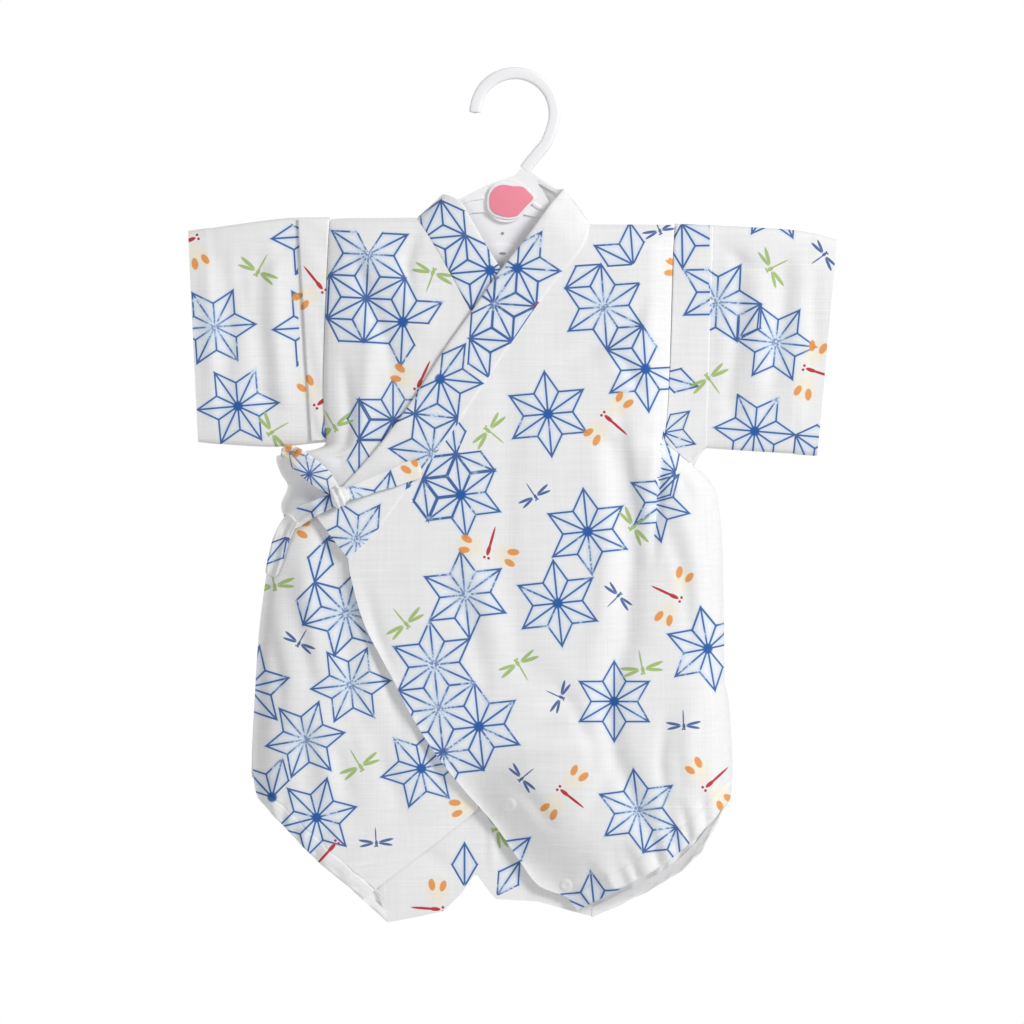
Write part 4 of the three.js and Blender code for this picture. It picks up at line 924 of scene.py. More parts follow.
def star_group():
    tree, start, end = new_group("asanoha star", ["Place"], ["Line", "Halo", "Dark", "Pale"])
    split = tree.nodes.new("ShaderNodeSeparateXYZ")
    tree.links.new(start.outputs[0], split.inputs[0])
    u, v, code = split.outputs
    kites = maths(tree, "FLOOR", times(tree, plus(tree, code, 0.5), 0.25))
    kind = minus(tree, code, times(tree, kites, 4.0))
    radius = maths(tree, "SQRT", plus(tree, times(tree, u, u), times(tree, v, v)))
    angle = plus(tree, maths(tree, "ARCTAN2", v, u), math.pi * 2 + math.pi / 6)
    within = maths(tree, "MODULO", angle, math.pi / 3)
    folded = maths(tree, "ABSOLUTE", minus(tree, within, math.pi / 6))
    along = times(tree, radius, maths(tree, "COSINE", folded))
    aside = times(tree, radius, maths(tree, "SINE", folded))
    to_tip = aside
    part_along, part_aside = times(tree, along, cos_sixty), times(tree, aside, sin_sixty)
    to_notch = maths(tree, "ABSOLUTE", minus(tree, part_along, part_aside))
    outline = minus(tree, plus(tree, part_along, part_aside), cos_sixty)
    nearest = maths(tree, "MINIMUM", to_tip, to_notch)
    nearest = maths(tree, "MINIMUM", nearest, maths(tree, "ABSOLUTE", outline))
    overlap = maths(tree, "DIVIDE", line_half_width, maths(tree, "MAXIMUM", radius, 0.05))
    present = maths(
        tree, "MAXIMUM", has_kite(tree, kites, plus(tree, angle, overlap)),
        has_kite(tree, kites, minus(tree, angle, overlap)),
    )
    ends = soft_step(tree, outline, line_half_width * 1.5, line_half_width * 0.6)
    inside = times(tree, ends, present)
    stroke = soft_step(tree, nearest, line_half_width * 1.35, line_half_width * 0.65)
    line = times(tree, stroke, inside)
    halo = times(tree, soft_step(tree, nearest, 0.13, 0.02), soft_step(tree, outline, 0.1, 0.0))
    halo = times(tree, halo, present)
    is_dark = maths(tree, "COMPARE", kind, 1.0, 0.3)
    is_pale = maths(tree, "COMPARE", kind, 2.0, 0.3)
    dark = times(tree, soft_step(tree, radius, 0.15, 0.09), is_dark)
    pale = times(tree, soft_step(tree, radius, 0.55, 0.08), is_pale)
    for i, value in enumerate((line, halo, dark, pale)):
        tree.links.new(value, end.inputs[i])
    return tree


star_nodes = star_group()
print("nodes that draw one star:", len(star_nodes.nodes))

# %% One dragonfly


def lobe(tree, u, v, centre, way, half_length, half_width, soft=0.25):
    """A soft ellipse: 1 inside, 0 outside."""
    c, s = math.cos(math.radians(way)), math.sin(math.radians(way))
    du, dv = minus(tree, u, centre[0]), minus(tree, v, centre[1])
    long = plus(tree, times(tree, du, c / half_length), times(tree, dv, s / half_length))
    wide = minus(tree, times(tree, dv, c / half_width), times(tree, du, s / half_width))
    reach = plus(tree, times(tree, long, long), times(tree, wide, wide))
    return soft_step(tree, reach, 1 + soft, 1 - soft)


def either(tree, *masks):
    total = masks[0]
    for mask in masks[1:]:
        total = maths(tree, "MAXIMUM", total, mask)
    return total


def dragonfly_group():
    outputs = ["Blue", "Green", "Red", "Orange", "Glow"]
    tree, start, end = new_group("dragonfly", ["Place"], outputs)
    split = tree.nodes.new("ShaderNodeSeparateXYZ")
    tree.links.new(start.outputs[0], split.inputs[0])
    u, v, kind = split.outputs
    side = maths(tree, "ABSOLUTE", u)
    winged = either(
        tree,
        lobe(tree, side, v, (0.58, 0.12), 11, 0.42, 0.085),
        lobe(tree, side, v, (0.54, -0.10), -12, 0.40, 0.078),
        lobe(tree, u, v, (0.0, 0.42), 90, 0.50, 0.04),
        lobe(tree, u, v, (0.02, -0.02), 90, 0.17, 0.085),
        lobe(tree, side, v, (0.06, -0.2), 0, 0.055, 0.05),
    )
    red = either(
        tree,
        lobe(tree, u, v, (0.0, 0.1), 90, 0.32, 0.12),
        lobe(tree, u, v, (0.0, 0.72), 90, 0.85, 0.08),
        lobe(tree, side, v, (0.13, -0.36), 0, 0.085, 0.085),
    )
    orange = either(
        tree,
        lobe(tree, side, v, (1.45, 0.40), 14, 0.36, 0.2),
        lobe(tree, side, v, (1.42, -0.28), -14, 0.34, 0.19),
    )
    glow = lobe(tree, side, v, (1.1, 0.05), 0, 0.75, 0.62, 0.9)
    is_blue = maths(tree, "COMPARE", kind, 0.0, 0.3)
    is_green = maths(tree, "COMPARE", kind, 1.0, 0.3)
    is_red = maths(tree, "COMPARE", kind, 2.0, 0.3)
    has_body = maths(tree, "COMPARE", kind, 2.5, 0.8)
    masks = (
        (winged, is_blue), (winged, is_green), (red, has_body), (orange, is_red), (glow, is_red),
    )
    for i, (mask, kind_share) in enumerate(masks):
        tree.links.new(times(tree, mask, kind_share), end.inputs[i])
    return tree


fly_nodes = dragonfly_group()
print("nodes that draw one dragonfly:", len(fly_nodes.nodes))

# %% The two faces of the cotton
off_white = (0.87, 0.868, 0.866, 1)
thread_shade = (0.825, 0.825, 0.83, 1)
slub_shade = (0.90, 0.90, 0.90, 1)
inks = {
    "line": (0.016, 0.085, 0.31, 1),
    "dark": (0.010, 0.10, 0.38, 1),
    "halo": (0.50, 0.69, 0.93, 1),
    "green": (0.31, 0.47, 0.07, 1),
    "orange": (0.80, 0.27, 0.015, 1),
    "red": (0.50, 0.008, 0.02, 1),
    "glow": (0.95, 0.80, 0.38, 1),
}


def noise(tree, place, scale, stretch, detail=2.0, roughness=0.5):
    """Noise on Object coordinates, stretched by a Mapping node."""
    mapping = tree.nodes.new("ShaderNodeMapping")
    mapping.inputs["Scale"].default_value = stretch
    tree.links.new(place, mapping.inputs["Vector"])
    node = tree.nodes.new("ShaderNodeTexNoise")
    node.inputs["Scale"].default_value = scale
    node.inputs["Detail"].default_value = detail
    node.inputs["Roughness"].default_value = roughness
    tree.links.new(mapping.outputs[0], node.inputs["Vector"])
    return node.outputs["Fac"]


def tint(tree, share, below, ink):
    node = tree.nodes.new("ShaderNodeMix")
    node.data_type = "RGBA"
    tree.links.new(share, node.inputs[0])
    if isinstance(below, tuple):
        node.inputs[6].default_value = below
    else:
        tree.links.new(below, node.inputs[6])
    node.inputs[7].default_value = ink
    return node.outputs[2]


def attribute(tree, name):
    node = tree.nodes.new("ShaderNodeAttribute")
    node.attribute_name = name
    return node.outputs["Vector"]


def weave(tree, place):
    """The cotton's fine threads, and the thicker slubs between them."""
    across = noise(tree, place, 150, (0.16, 1, 4.2), 2.5, 0.6)
    upward = noise(tree, place, 150, (4.6, 1, 0.14), 2.5, 0.6)
    slubs = noise(tree, place, 60, (0.25, 1, 6.5), 2.0, 0.45)
    threads = plus(tree, times(tree, across, 0.55), times(tree, upward, 0.45))
    return threads, soft_step(tree, slubs, 0.60, 0.74)


def printed_stars(tree, place):
    """The stars' lines, halos and dark middles; the lines are rubbed away in places."""
    masks = {"Line": [], "Halo": [], "Dark": [], "Pale": []}
    for layer in ("star_a", "star_b", "star_c"):
        star = tree.nodes.new("ShaderNodeGroup")
        star.node_tree = star_nodes
        tree.links.new(attribute(tree, layer), star.inputs[0])
        for kind, found in masks.items():
            found.append(star.outputs[kind])
    worn = noise(tree, place, 62, (1, 1, 1), 3.0, 0.65)
    rubbed = noise(tree, place, 620, (1, 1, 1), 2.0, 0.6)
    faded = soft_step(tree, worn, 0.56, 0.66)
    fading = maths(tree, "MAXIMUM", faded, either(tree, *masks["Pale"]))
    lost = minus(tree, 1.0, times(tree, soft_step(tree, rubbed, 0.60, 0.46), 0.75))
    kept = minus(tree, 1.0, times(tree, fading, lost))
    line = times(tree, either(tree, *masks["Line"]), kept)
    halo = times(tree, either(tree, *masks["Halo"]), 0.55)
    return line, halo, either(tree, *masks["Dark"])


def printed_cotton(name, ink_share, painted_glow):
    cotton = bpy.data.materials.new(name)
    cotton.use_nodes = True
    tree = cotton.node_tree
    shader = tree.nodes["Principled BSDF"]
    shader.inputs["Roughness"].default_value = 0.82
    shader.inputs["Sheen Weight"].default_value = 0.12
    shader.inputs["Sheen Roughness"].default_value = 0.45
    place = tree.nodes.new("ShaderNodeTexCoord").outputs["Object"]

    threads, slub = weave(tree, place)
    line, halo, dark = printed_stars(tree, place)
    fly = tree.nodes.new("ShaderNodeGroup")
    fly.node_tree = fly_nodes
    tree.links.new(attribute(tree, "dragonfly"), fly.inputs[0])

    shade = tree.nodes.new("ShaderNodeMix")
    shade.data_type = "RGBA"
    tree.links.new(soft_step(tree, threads, 0.34, 0.66), shade.inputs[0])
    shade.inputs[6].default_value = thread_shade
    shade.inputs[7].default_value = off_white
    colour = tint(tree, times(tree, slub, 0.5), shade.outputs[2], slub_shade)
    wanted = (
        (halo, 1.0, "halo"), (line, 0.94, "line"), (dark, 0.96, "dark"),
        (fly.outputs["Glow"], 0.30, "glow"), (fly.outputs["Orange"], 0.88, "orange"),
        (fly.outputs["Red"], 0.97, "red"), (fly.outputs["Green"], 0.85, "green"),
        (fly.outputs["Blue"], 0.92, "line"),
    )
    for mask, strength, ink in wanted:
        colour = tint(tree, times(tree, mask, strength * ink_share), colour, inks[ink])
    tree.links.new(colour, shader.inputs["Base Color"])
    # Painted light: the cloth gives off its own colour, faintly on the reverse, standing for light
    # through the thin cloth.
    tree.links.new(colour, shader.inputs["Emission Color"])
    shader.inputs["Emission Strength"].default_value = painted_glow

    bump = tree.nodes.new("ShaderNodeBump")
    bump.inputs["Strength"].default_value = 0.35
    bump.inputs["Distance"].default_value = 0.0005
    relief = plus(tree, threads, times(tree, slub, 0.6))
    tree.links.new(relief, bump.inputs["Height"])
    tree.links.new(bump.outputs[0], shader.inputs["Normal"])
    return cotton


# The reverse's 0.06 is a painted glow standing for light coming through the cloth; the outside has
# none.
cotton_outside = printed_cotton("printed cotton", 1.0, 0.0)
cotton_inside = printed_cotton("printed cotton, reverse", 0.2, 0.06)


def dress(piece, *replaced):
    """Gives a cloth piece its place in the frame and hides the solids that it replaces."""
    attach(piece, "root")
    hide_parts(*replaced)


def area_of(piece):
    """The piece's surface in square metres, half of it for a closed shell."""
    return sum(face.area for face in piece.data.polygons) / 2


# %% [markdown]
# ## The back
# The back runs from the shoulders to both leg hems, with the crotch's flaps between. It is one
# grid over the whole width. Its lowest row follows an outline with corners, so each column keeps
# its own share of the way down.

# %% Back
cloth = 1.0                    # from the clear space inside to the cloth's outer face
shell = 0.75                   # thickness of one layer of cloth
band_shell = 0.5               # thickness of each side of a band or a laid fold
casing_shell = 0.4


def hem_share(place, x, z):
    """Gathers fade towards the ends of a hem, where it is sewn into the side and the inseam."""
    ends = hems[place]["outer"]
    start = np.hypot(x - ends[0][0], z - ends[0][1])
    finish = np.hypot(x - ends[-1][0], z - ends[-1][1])
    return ease(start, 1, 12) * ease(finish, 1, 12)


def back_height(x, z):
    small = crease_height(small_back_creases, x, z, crease_share=1.8) + slack(x, z, 0.2)
    top = ease(back_top_at(x) - z, 0, 12)
    height = small * ease(np.minimum(x - left_at(z), right_at(z) - x), 1, 12) * top
    for place in ("right_back", "left_back"):
        height = height + gather_height(place, x, z) * hem_share(place, x, z)
    return cloth + height


def back_shape(u, v):
    """u runs from the left side seam to the right one, v from the shoulders down."""
    first, last = back_bottom[0][0], back_bottom[-1][0]
    left, right = blend(-84.2, -420, v), blend(-88.4, -422, v)
    x = blend(left_at(left), right_at(right), u)
    level = blend(left, right, u)
    top_error = back_top_at(x) - blend(-84.2, -88.4, u)
    column = blend(first, last, u)
    bottom_error = back_bottom_at(column) - blend(-420, -422, u)
    z = level + top_error * (1 - v) ** 6 + bottom_error * v**2.2
    return raise_from(inner_back, x, z, 1, back_height(x, z))


back = from_grid("back_cloth", 128, 186, back_shape)
turn_faces(back, 1)
give_thickness(back, shell)
faces = back.data.polygons
face_places = numbers(faces, "center") / MM
for i in np.flatnonzero(flap_faces(back, face_places[:, 0], face_places[:, 2])):
    faces[i].material_index = 0
print_on(back, [("all", stars_back, flies_back), ("flaps", stars_flaps, flies_flaps)])
dress(back, "back")
print("back:", round(area_of(back), 4), "m2 of cloth")

# %% [markdown]
# ## The two fronts
# Each front is sewn to its band along a slanting edge. The lower front runs on under the upper
# one. Their grids' rows start at one edge and end at the other at different heights, so that
# they turn with the leg and end along its hem.

# %% Fronts
over_levels = [
    (-88.4, -88.4), (-198, -198), (-213, -213), (-240, -238.5), (-266, -262), (-300, -299),
    (-356, -354), (-394, -386), (-413, -398), (-432, -406), (-450, -412), (-471, -417),
    (-492.6, -421.6),
]
under_levels = [
    (-84.2, -84.2), (-213, -213), (-222.5, -224), (-257, -258), (-293, -293), (-334, -338),
    (-354, -362), (-370, -384), (-382, -402), (-390, -415), (-397, -426), (-403, -437),
    (-408, -448), (-412, -460), (-416, -474), (-420, -487.8),
]


def front_height(place, edge_at, x, z):
    small = crease_height(small_front_creases, x, z, crease_share=2.0) + slack(x, z, -0.1)
    top = np.minimum(path_distance(top_fold_left, x, z)[0], path_distance(top_fold_right, x, z)[0])
    rim = ease(np.minimum(x - left_at(z), right_at(z) - x), 1, 12) * ease(top, 1, 14)
    edge = ease(np.abs(x - edge_at(z)), 0, 6)
    hem_run = gather_height(place, x, z) * hem_share(place, x, z)
    return cloth + small * rim * edge + hem_run


def over_shape(u, v):
    """u runs from the free edge to the right side seam."""
    left = blend(over_levels[0][0], over_levels[-1][0], v)
    right = np.interp(-left, [-row[0] for row in over_levels], [row[1] for row in over_levels])
    tucked = 1.2 * (1 - ease(-left, 280, 292))
    x = blend(over_edge_at(left) - tucked, right_at(right), u)
    z = blend(left, right, u)
    bottom = [(bx - 0.3, bz + 0.4) for bx, bz in reversed(hems["right_front"]["inner"])]
    goal_x, goal_z = even_path(bottom)(u)
    end_x = blend(over_edge_at(-492.6), right_at(-421.6), u)
    end_z = blend(-492.6, -421.6, u)
    x = x + v**8 * (goal_x - end_x)
    z = z + v**8 * (goal_z - end_z)
    edge_roll = 0.35 * np.exp(-(((x - over_edge_at(z)) / 2.2) ** 2)) * ease(-z, 286, 296)
    height = front_height("right_front", over_edge_at, x, z) + edge_roll
    return raise_from(inner_over, x, z, -1, height)


front_over = from_grid("front_over_cloth", 96, 196, over_shape)
turn_faces(front_over, -1)
give_thickness(front_over, shell)
print_on(front_over, [("all", stars_front_over, flies_front_over)])
dress(front_over, "front_over")
print("upper front:", round(area_of(front_over), 4), "m2 of cloth")


def under_shape(u, v):
    """u runs from the left side seam to the hidden free edge."""
    left = blend(under_levels[0][0], under_levels[-1][0], v)
    right = np.interp(-left, [-row[0] for row in under_levels], [row[1] for row in under_levels])
    x = blend(left_at(left), under_edge_at(right), u)
    z = blend(left, right, u)
    bottom = [(bx + 0.3, bz + 0.4) for bx, bz in hems["left_front"]["inner"]]
    goal_x, goal_z = even_path(bottom)(u)
    end_x = blend(left_at(-420), under_edge_at(-487.8), u)
    end_z = blend(-420, -487.8, u)
    x = x + v**8 * (goal_x - end_x)
    z = z + v**8 * (goal_z - end_z)
    return raise_from(inner_under, x, z, -1, front_height("left_front", under_edge_at, x, z))


front_under = from_grid("front_under_cloth", 96, 176, under_shape)
turn_faces(front_under, -1)
give_thickness(front_under, shell)
print_on(front_under, [("all", stars_front_under, flies_front_under)])
dress(front_under, "front_under")
print("lower front:", round(area_of(front_under), 4), "m2 of cloth")

# %% [markdown]
# ## The neck band
# The band is a strip folded over the raw edge of the neckline. Its outer edge is a seam with a
# row of stitching close beside it, its inner edge is a soft fold. The grid crosses the strip, and
# its last columns turn round the fold, so that the edge is round and not a cut.

# %% Neck band
over_band = [
    (44.4, -87.9, 28.4, -65.9), (43.2, -92, 25.5, -69.5), (41, -99, 20.5, -75.5),
    (27.5, -117, 4.5, -97.5), (13.5, -135.2, -10.9, -116.9), (-1.5, -157, -26.7, -139.8),
    (-16.2, -178.9, -42, -161.2), (-26.6, -194.5, -52.4, -177.6), (-37.1, -210.7, -62.8, -193.9),
    (-48, -225.5, -73, -208.2), (-59.1, -240.2, -83.5, -222), (-69.3, -252.2, -93.6, -233.6),
    (-81.7, -269.6, -106.6, -247.4), (-100.5, -288.8, -122.6, -259.6),
]
under_band = [
    (-60, -83.9, -43.9, -69.2), (-57.5, -88, -39.5, -70.6), (-53.1, -94.4, -34.1, -73.4),
    (-46.5, -105.6, -26.4, -86), (-39.3, -118.4, -17.6, -101.2), (-32.6, -130.7, -9.2, -114.6),
    (-25.8, -143, -1.4, -126.6), (-13, -161, 11.6, -144.6), (0, -179, 25, -162.6),
    (10.5, -195, 35.6, -178.4), (21, -211, 46, -194), (33.5, -228.5, 57.6, -210.6),
    (46, -246, 69.6, -228),
]
back_band = [
    (-59.2, -83.5, -43.6, -69), (-54, -84.2, -40.6, -70.6), (-46, -85.6, -35, -72.2),
    (-34, -87.2, -27, -69.6), (-20, -88.1, -16, -64.8), (-5, -88.6, -3, -59.2),
    (8, -88.6, 7, -55.4), (20, -88.6, 14.5, -59), (30, -88.3, 20, -63.2), (38, -87.9, 24.6, -65.8),
    (43.6, -87.6, 28, -65.8),
]
# way across the band, share of its width reached, height above the inner face
band_profile = [
    (0, 0.0, 0.9), (0.03, 0.01, 1.45), (0.07, 0.05, 1.72), (0.10, 0.075, 1.58), (0.14, 0.11, 1.74),
    (0.5, 0.5, 1.82), (0.78, 0.93, 1.68), (0.84, 0.985, 1.3), (0.88, 1.0, 0.85),
    (0.92, 0.985, 0.4),
    (1, 0.85, 0.1),
]


def band_shape(rows, depth, facing, thickness, along):
    """along says which column of the rows runs along the band: 1 for z, 0 for x."""
    first, last = rows[0][along], rows[-1][along]
    ends = [smooth_line(rows, along, column) for column in range(4)]

    def shape(u, v):
        level = blend(first, last, v)
        seam_x, seam_z, free_x, free_z = (line(level) for line in ends)
        ways = [row[0] for row in band_profile]
        reach = np.interp(u, ways, [row[1] for row in band_profile])
        height = np.interp(u, ways, [row[2] for row in band_profile]) * thickness / 1.8
        x, z = blend(seam_x, free_x, reach), blend(seam_z, free_z, reach)
        ripple = 0.28 * np.sin(v * 41 + 2 * np.sin(v * 17)) * np.sin(np.pi * reach) * (u < 0.8)
        return raise_from(depth, x, z, facing, height + ripple)

    return shape


def make_band(name, node, rows, depth, facing, thickness, along, size, areas):
    band = from_grid(name, 26, size, band_shape(rows, depth, facing, thickness, along))
    turn_faces(band, facing)
    give_thickness(band, band_shell)
    print_on(band, areas)
    dress(band, node)
    print(name, round(area_of(band), 5), "m2 of cloth")
    return band


collar_under = make_band(
    "collar_under_cloth", "collar_under", under_band, inner_under, -1, 1.3, 1, 110,
    [("all", stars_under_band, flies_under_band)],
)
collar_over = make_band(
    "collar_over_cloth", "collar_over", over_band, inner_over, -1, 1.8, 1, 150,
    [("all", stars_over_band, flies_over_band)],
)
collar_back = make_band(
    "collar_back_cloth", "collar_back", back_band, inner_back, 1, 1.8, 0, 70,
    [("back", stars_back, flies_back)],
)

# %% [markdown]
# ## Sleeves
# A sleeve is a straight tube, flattened, with its seam below. Beside the armhole a stretch of it
# is laid over the rest as a flat fold. The grid is wrapped into a tube, its two open edges are
# merged, and the fold is a second, smaller grid that lies on it.

# %% Sleeve measures: share from armhole to cuff, top x, top z, bottom x, bottom z, half depth
sleeve_rows = {
    "left": [
        (0, -112.6, -84.2, -114.8, -217.6, 5), (0.23, -131.7, -84.3, -123.6, -218.4, 4.4),
        (0.5, -154.1, -86.4, -146.1, -220.4, 5.4), (0.75, -175.5, -89.4, -168.6, -219.4, 6),
        (1, -197.4, -92.6, -191.5, -217.2, 5.4),
    ],
    "right": [
        (0, 95.6, -88, 110.6, -232.8, 5), (0.25, 118.5, -89, 114.4, -221.2, 4.6),
        (0.5, 143, -90.2, 136, -222.6, 5.6), (0.75, 168.5, -92, 158.6, -224, 6),
        (1, 192.5, -97.9, 180.9, -225.5, 5.4),
    ],
}
armholes = {"left": lambda z: left_at(z) - 0.5, "right": lambda z: right_at(z) + 0.6}
fold_shares = {"left": 0.23, "right": 0.25}
sleeve_creases = {
    "left": [
        (-1.3, 6, [(-155, -92), (-156, -140), (-152, -186), (-148, -214)]),
        (0.9, 5, [(-146, -96), (-145, -150), (-140, -206)]),
        (-1.0, 5, [(-178, -100), (-172, -150), (-176, -210)]),
        (0.8, 5, [(-186, -104), (-184, -160), (-182, -212)]),
        (-0.9, 4, [(-134, -94), (-150, -112), (-170, -122)]),
        (-0.8, 4, [(-136, -204), (-150, -190), (-166, -184)]),
        (-0.7, 4, [(-164, -96), (-166, -120), (-162, -150)]),
    ],
    "right": [
        (-1.2, 5, [(132, -94), (134, -140), (128, -190), (130, -216)]),
        (0.9, 6, [(144, -98), (146, -150), (142, -212)]),
        (-1.0, 5, [(162, -98), (160, -140), (152, -200)]),
        (0.8, 5, [(174, -104), (170, -160), (166, -216)]),
        (-0.9, 4, [(120, -96), (138, -112), (156, -116)]),
        (-0.8, 4, [(122, -212), (134, -196), (150, -188)]),
        (-0.6, 4, [(180, -110), (178, -140), (180, -168)]),
    ],
}


def sleeve_face(side, s, phi):
    """A point of the sleeve's inner face: phi is 0 at the top, then runs through the front."""
    rows = sleeve_rows[side]
    top_x, top_z, bottom_x, bottom_z, half_at = (
        smooth_line(rows, 0, column)(s) for column in range(1, 6)
    )
    w = (1 - np.cos(phi)) / 2
    start = rows[0]
    straight_x = blend(start[1], start[3], w)
    start_z = blend(start[2], start[4], w)
    armhole = armholes[side](start_z)
    fold_at = fold_shares[side]
    x = blend(top_x, bottom_x, w) + (armhole - straight_x) * (1 - ease(s, 0, fold_at))
    z = blend(top_z, bottom_z, w)
    section = fold_gap + half_at * (1 - np.abs(2 * w - 1) ** 4) ** 0.25
    at_armhole = body_gap(armhole, start_z)
    front = np.sin(phi) >= 0
    bump = np.sqrt(np.sin(np.pi * w))
    sink = np.where(front, 1.5 * bump * (1 - ease(s, fold_at, fold_at + 0.2)), 0)
    half = np.maximum(blend(at_armhole, section, ease(s, 0, 0.2)) - sink, fold_gap)
    return np.stack([x, np.where(front, -half, half), z], axis=-1)


def sleeve_out(side, s, phi):
    """The way out of the sleeve's face."""
    step, turn = 0.01, 0.04
    along = sleeve_face(side, np.minimum(s + step, 1), phi)
    along = along - sleeve_face(side, np.maximum(s - step, 0), phi)
    around = sleeve_face(side, s, phi + turn) - sleeve_face(side, s, phi - turn)
    normal = np.cross(along, around)
    normal /= np.linalg.norm(normal, axis=-1, keepdims=True)
    looking = normal[..., 1] * -np.sin(phi) + normal[..., 2] * np.cos(phi)
    return normal * np.where(looking < 0, -1, 1)[..., None]


def sleeve_raised(side, s, phi, height):
    return sleeve_face(side, s, phi) + sleeve_out(side, s, phi) * height[..., None]


def sleeve_height(side, s, phi):
    point = sleeve_face(side, s, phi)
    x, z = point[..., 0], point[..., 2]
    w = (1 - np.cos(phi)) / 2
    rim = ease(np.sin(np.pi * w), 0.1, 0.55) * ease(s, 0.02, 0.2)
    mirrored = np.where(np.sin(phi) >= 0, 1.0, -0.7)
    creases = crease_height(sleeve_creases[side], x, z, crease_share=1.6) * mirrored
    cuff = 0.35 * ease(s, 0.835, 0.85)
    stitched = -0.3 * np.exp(-(((s - 0.845) / 0.008) ** 2))
    return cloth + (creases + slack(x, z, 0.4)) * rim + cuff + stitched


def make_sleeve(side, stars, flies):
    def tube(u, v):
        height = sleeve_height(side, v, 2 * np.pi * u)
        return sleeve_raised(side, v, 2 * np.pi * (u + 0.0005), height)

    def laid_fold(u, v):
        # across: down from the armhole seam to the fold's edge, then back under it
        ways = [0, 0.05, 0.12, 0.84, 0.9, 0.94, 0.97, 1]
        reach = np.interp(u, ways, [0.004, 0.02, 0.06, 0.95, 0.99, 1.0, 0.99, 0.92])
        lift = np.interp(u, ways, [1.0, 1.9, 2.3, 2.55, 2.3, 1.9, 1.5, 1.25])
        phi = blend(0.16, np.pi - 0.2, v)
        ends = ease(v, 0, 0.03) * (1 - ease(v, 0.97, 1))
        ripple = 0.3 * np.sin(v * 23 + 3 * reach) * np.sin(np.pi * reach) * ends
        return sleeve_raised(side, reach * fold_shares[side], phi, lift + ripple)

    body = from_grid("sleeve_body", 132, 44, tube)
    edit(body, bpy.ops.mesh.remove_doubles, threshold=0.00008)
    strip = from_grid("sleeve_strip", 26, 66, laid_fold)
    for piece in (body, strip):
        normal_y = numbers(piece.data.polygons, "normal")[:, 1]
        half = np.sign(numbers(piece.data.polygons, "center")[:, 1])
        if (normal_y * half).mean() < 0:
            edit(piece, bpy.ops.mesh.flip_normals)
    give_thickness(body, shell)
    give_thickness(strip, band_shell)
    sleeve = join(f"sleeve_{side}_cloth", [body, strip])
    print_on(sleeve, [("front", stars, flies), ("back", stars_sleeve_back, flies_sleeve_back)])
    dress(sleeve, f"sleeve_{side}", f"sleeve_{side}_fold")
    print(sleeve.name, round(area_of(sleeve), 4), "m2 of cloth")
    return sleeve


sleeve_left = make_sleeve("left", stars_sleeve_left, flies_sleeve_left)
sleeve_right = make_sleeve("right", stars_sleeve_right, flies_sleeve_right)

# %% [markdown]
# ## Leg hems
# The casing is the hem turned up over the elastic. Its lower edge is a fold, puffed between the
# gathers, and its upper edge is stitched down. The grid crosses the casing from inside the leg,
# round the fold, to the stitching.

# %% Leg hems
casing_profile = [
    (0, 0.5, -0.4), (0.12, 0.1, -0.5), (0.18, 0.015, -0.1), (0.22, 0.0, 0.55), (0.27, 0.02, 1.15),
    (0.34, 0.1, 1.6), (0.6, 0.55, 1.75), (0.88, 0.9, 1.35), (0.95, 0.97, 0.95), (1, 1.04, 0.7),
]


def make_hem(place, node, depth, facing, stars, flies):
    outer, inner = even_path(hems[place]["outer"]), even_path(hems[place]["inner"])

    def shape(u, v):
        ways = [row[0] for row in casing_profile]
        reach = np.interp(v, ways, [row[1] for row in casing_profile])
        height = np.interp(v, ways, [row[2] for row in casing_profile])
        (outer_x, outer_z), (inner_x, inner_z) = outer(u), inner(u)
        x, z = blend(outer_x, inner_x, reach), blend(outer_z, inner_z, reach)
        ends = ease(u, 0, 0.06) * (1 - ease(u, 0.94, 1))
        fullness = np.interp(reach, [0, 0.06, 0.3, 1], [0.25, 0.6, 1.1, 0.75]) * ends * (v > 0.14)
        height = height * blend(0.75, 1, ends) + gather_height(place, x, z) * fullness
        return raise_from(depth, x, z, facing, height)

    hem = from_grid(f"{node}_cloth", 110, 24, shape)
    turn_faces(hem, facing)
    give_thickness(hem, casing_shell)
    for face in hem.data.polygons:
        if face.normal.y * facing < 0.25:
            face.material_index = 1
    print_on(hem, [("all" if facing < 0 else "outer back", stars, flies)])
    dress(hem, node)
    print(hem.name, round(area_of(hem), 5), "m2 of cloth")
    return hem


for place, depth, facing, stars, flies in (
    ("right_front", inner_over, -1, stars_front_over, flies_front_over),
    ("left_front", inner_under, -1, stars_front_under, flies_front_under),
    ("right_back", inner_back, 1, stars_back, flies_back),
    ("left_back", inner_back, 1, stars_back, flies_back),
):
    make_hem(place, f"leg_hem_{place}", depth, facing, stars, flies)

# %% [markdown]
# ## The ties
# Two narrow ties are knotted into a half bow at the left of the waist. Each stretch is a sewn
# tube pressed flat: a grid wrapped round a path, closed at its ends, with its own lengthwise
# wrinkles, deepest where the knot squeezes it.

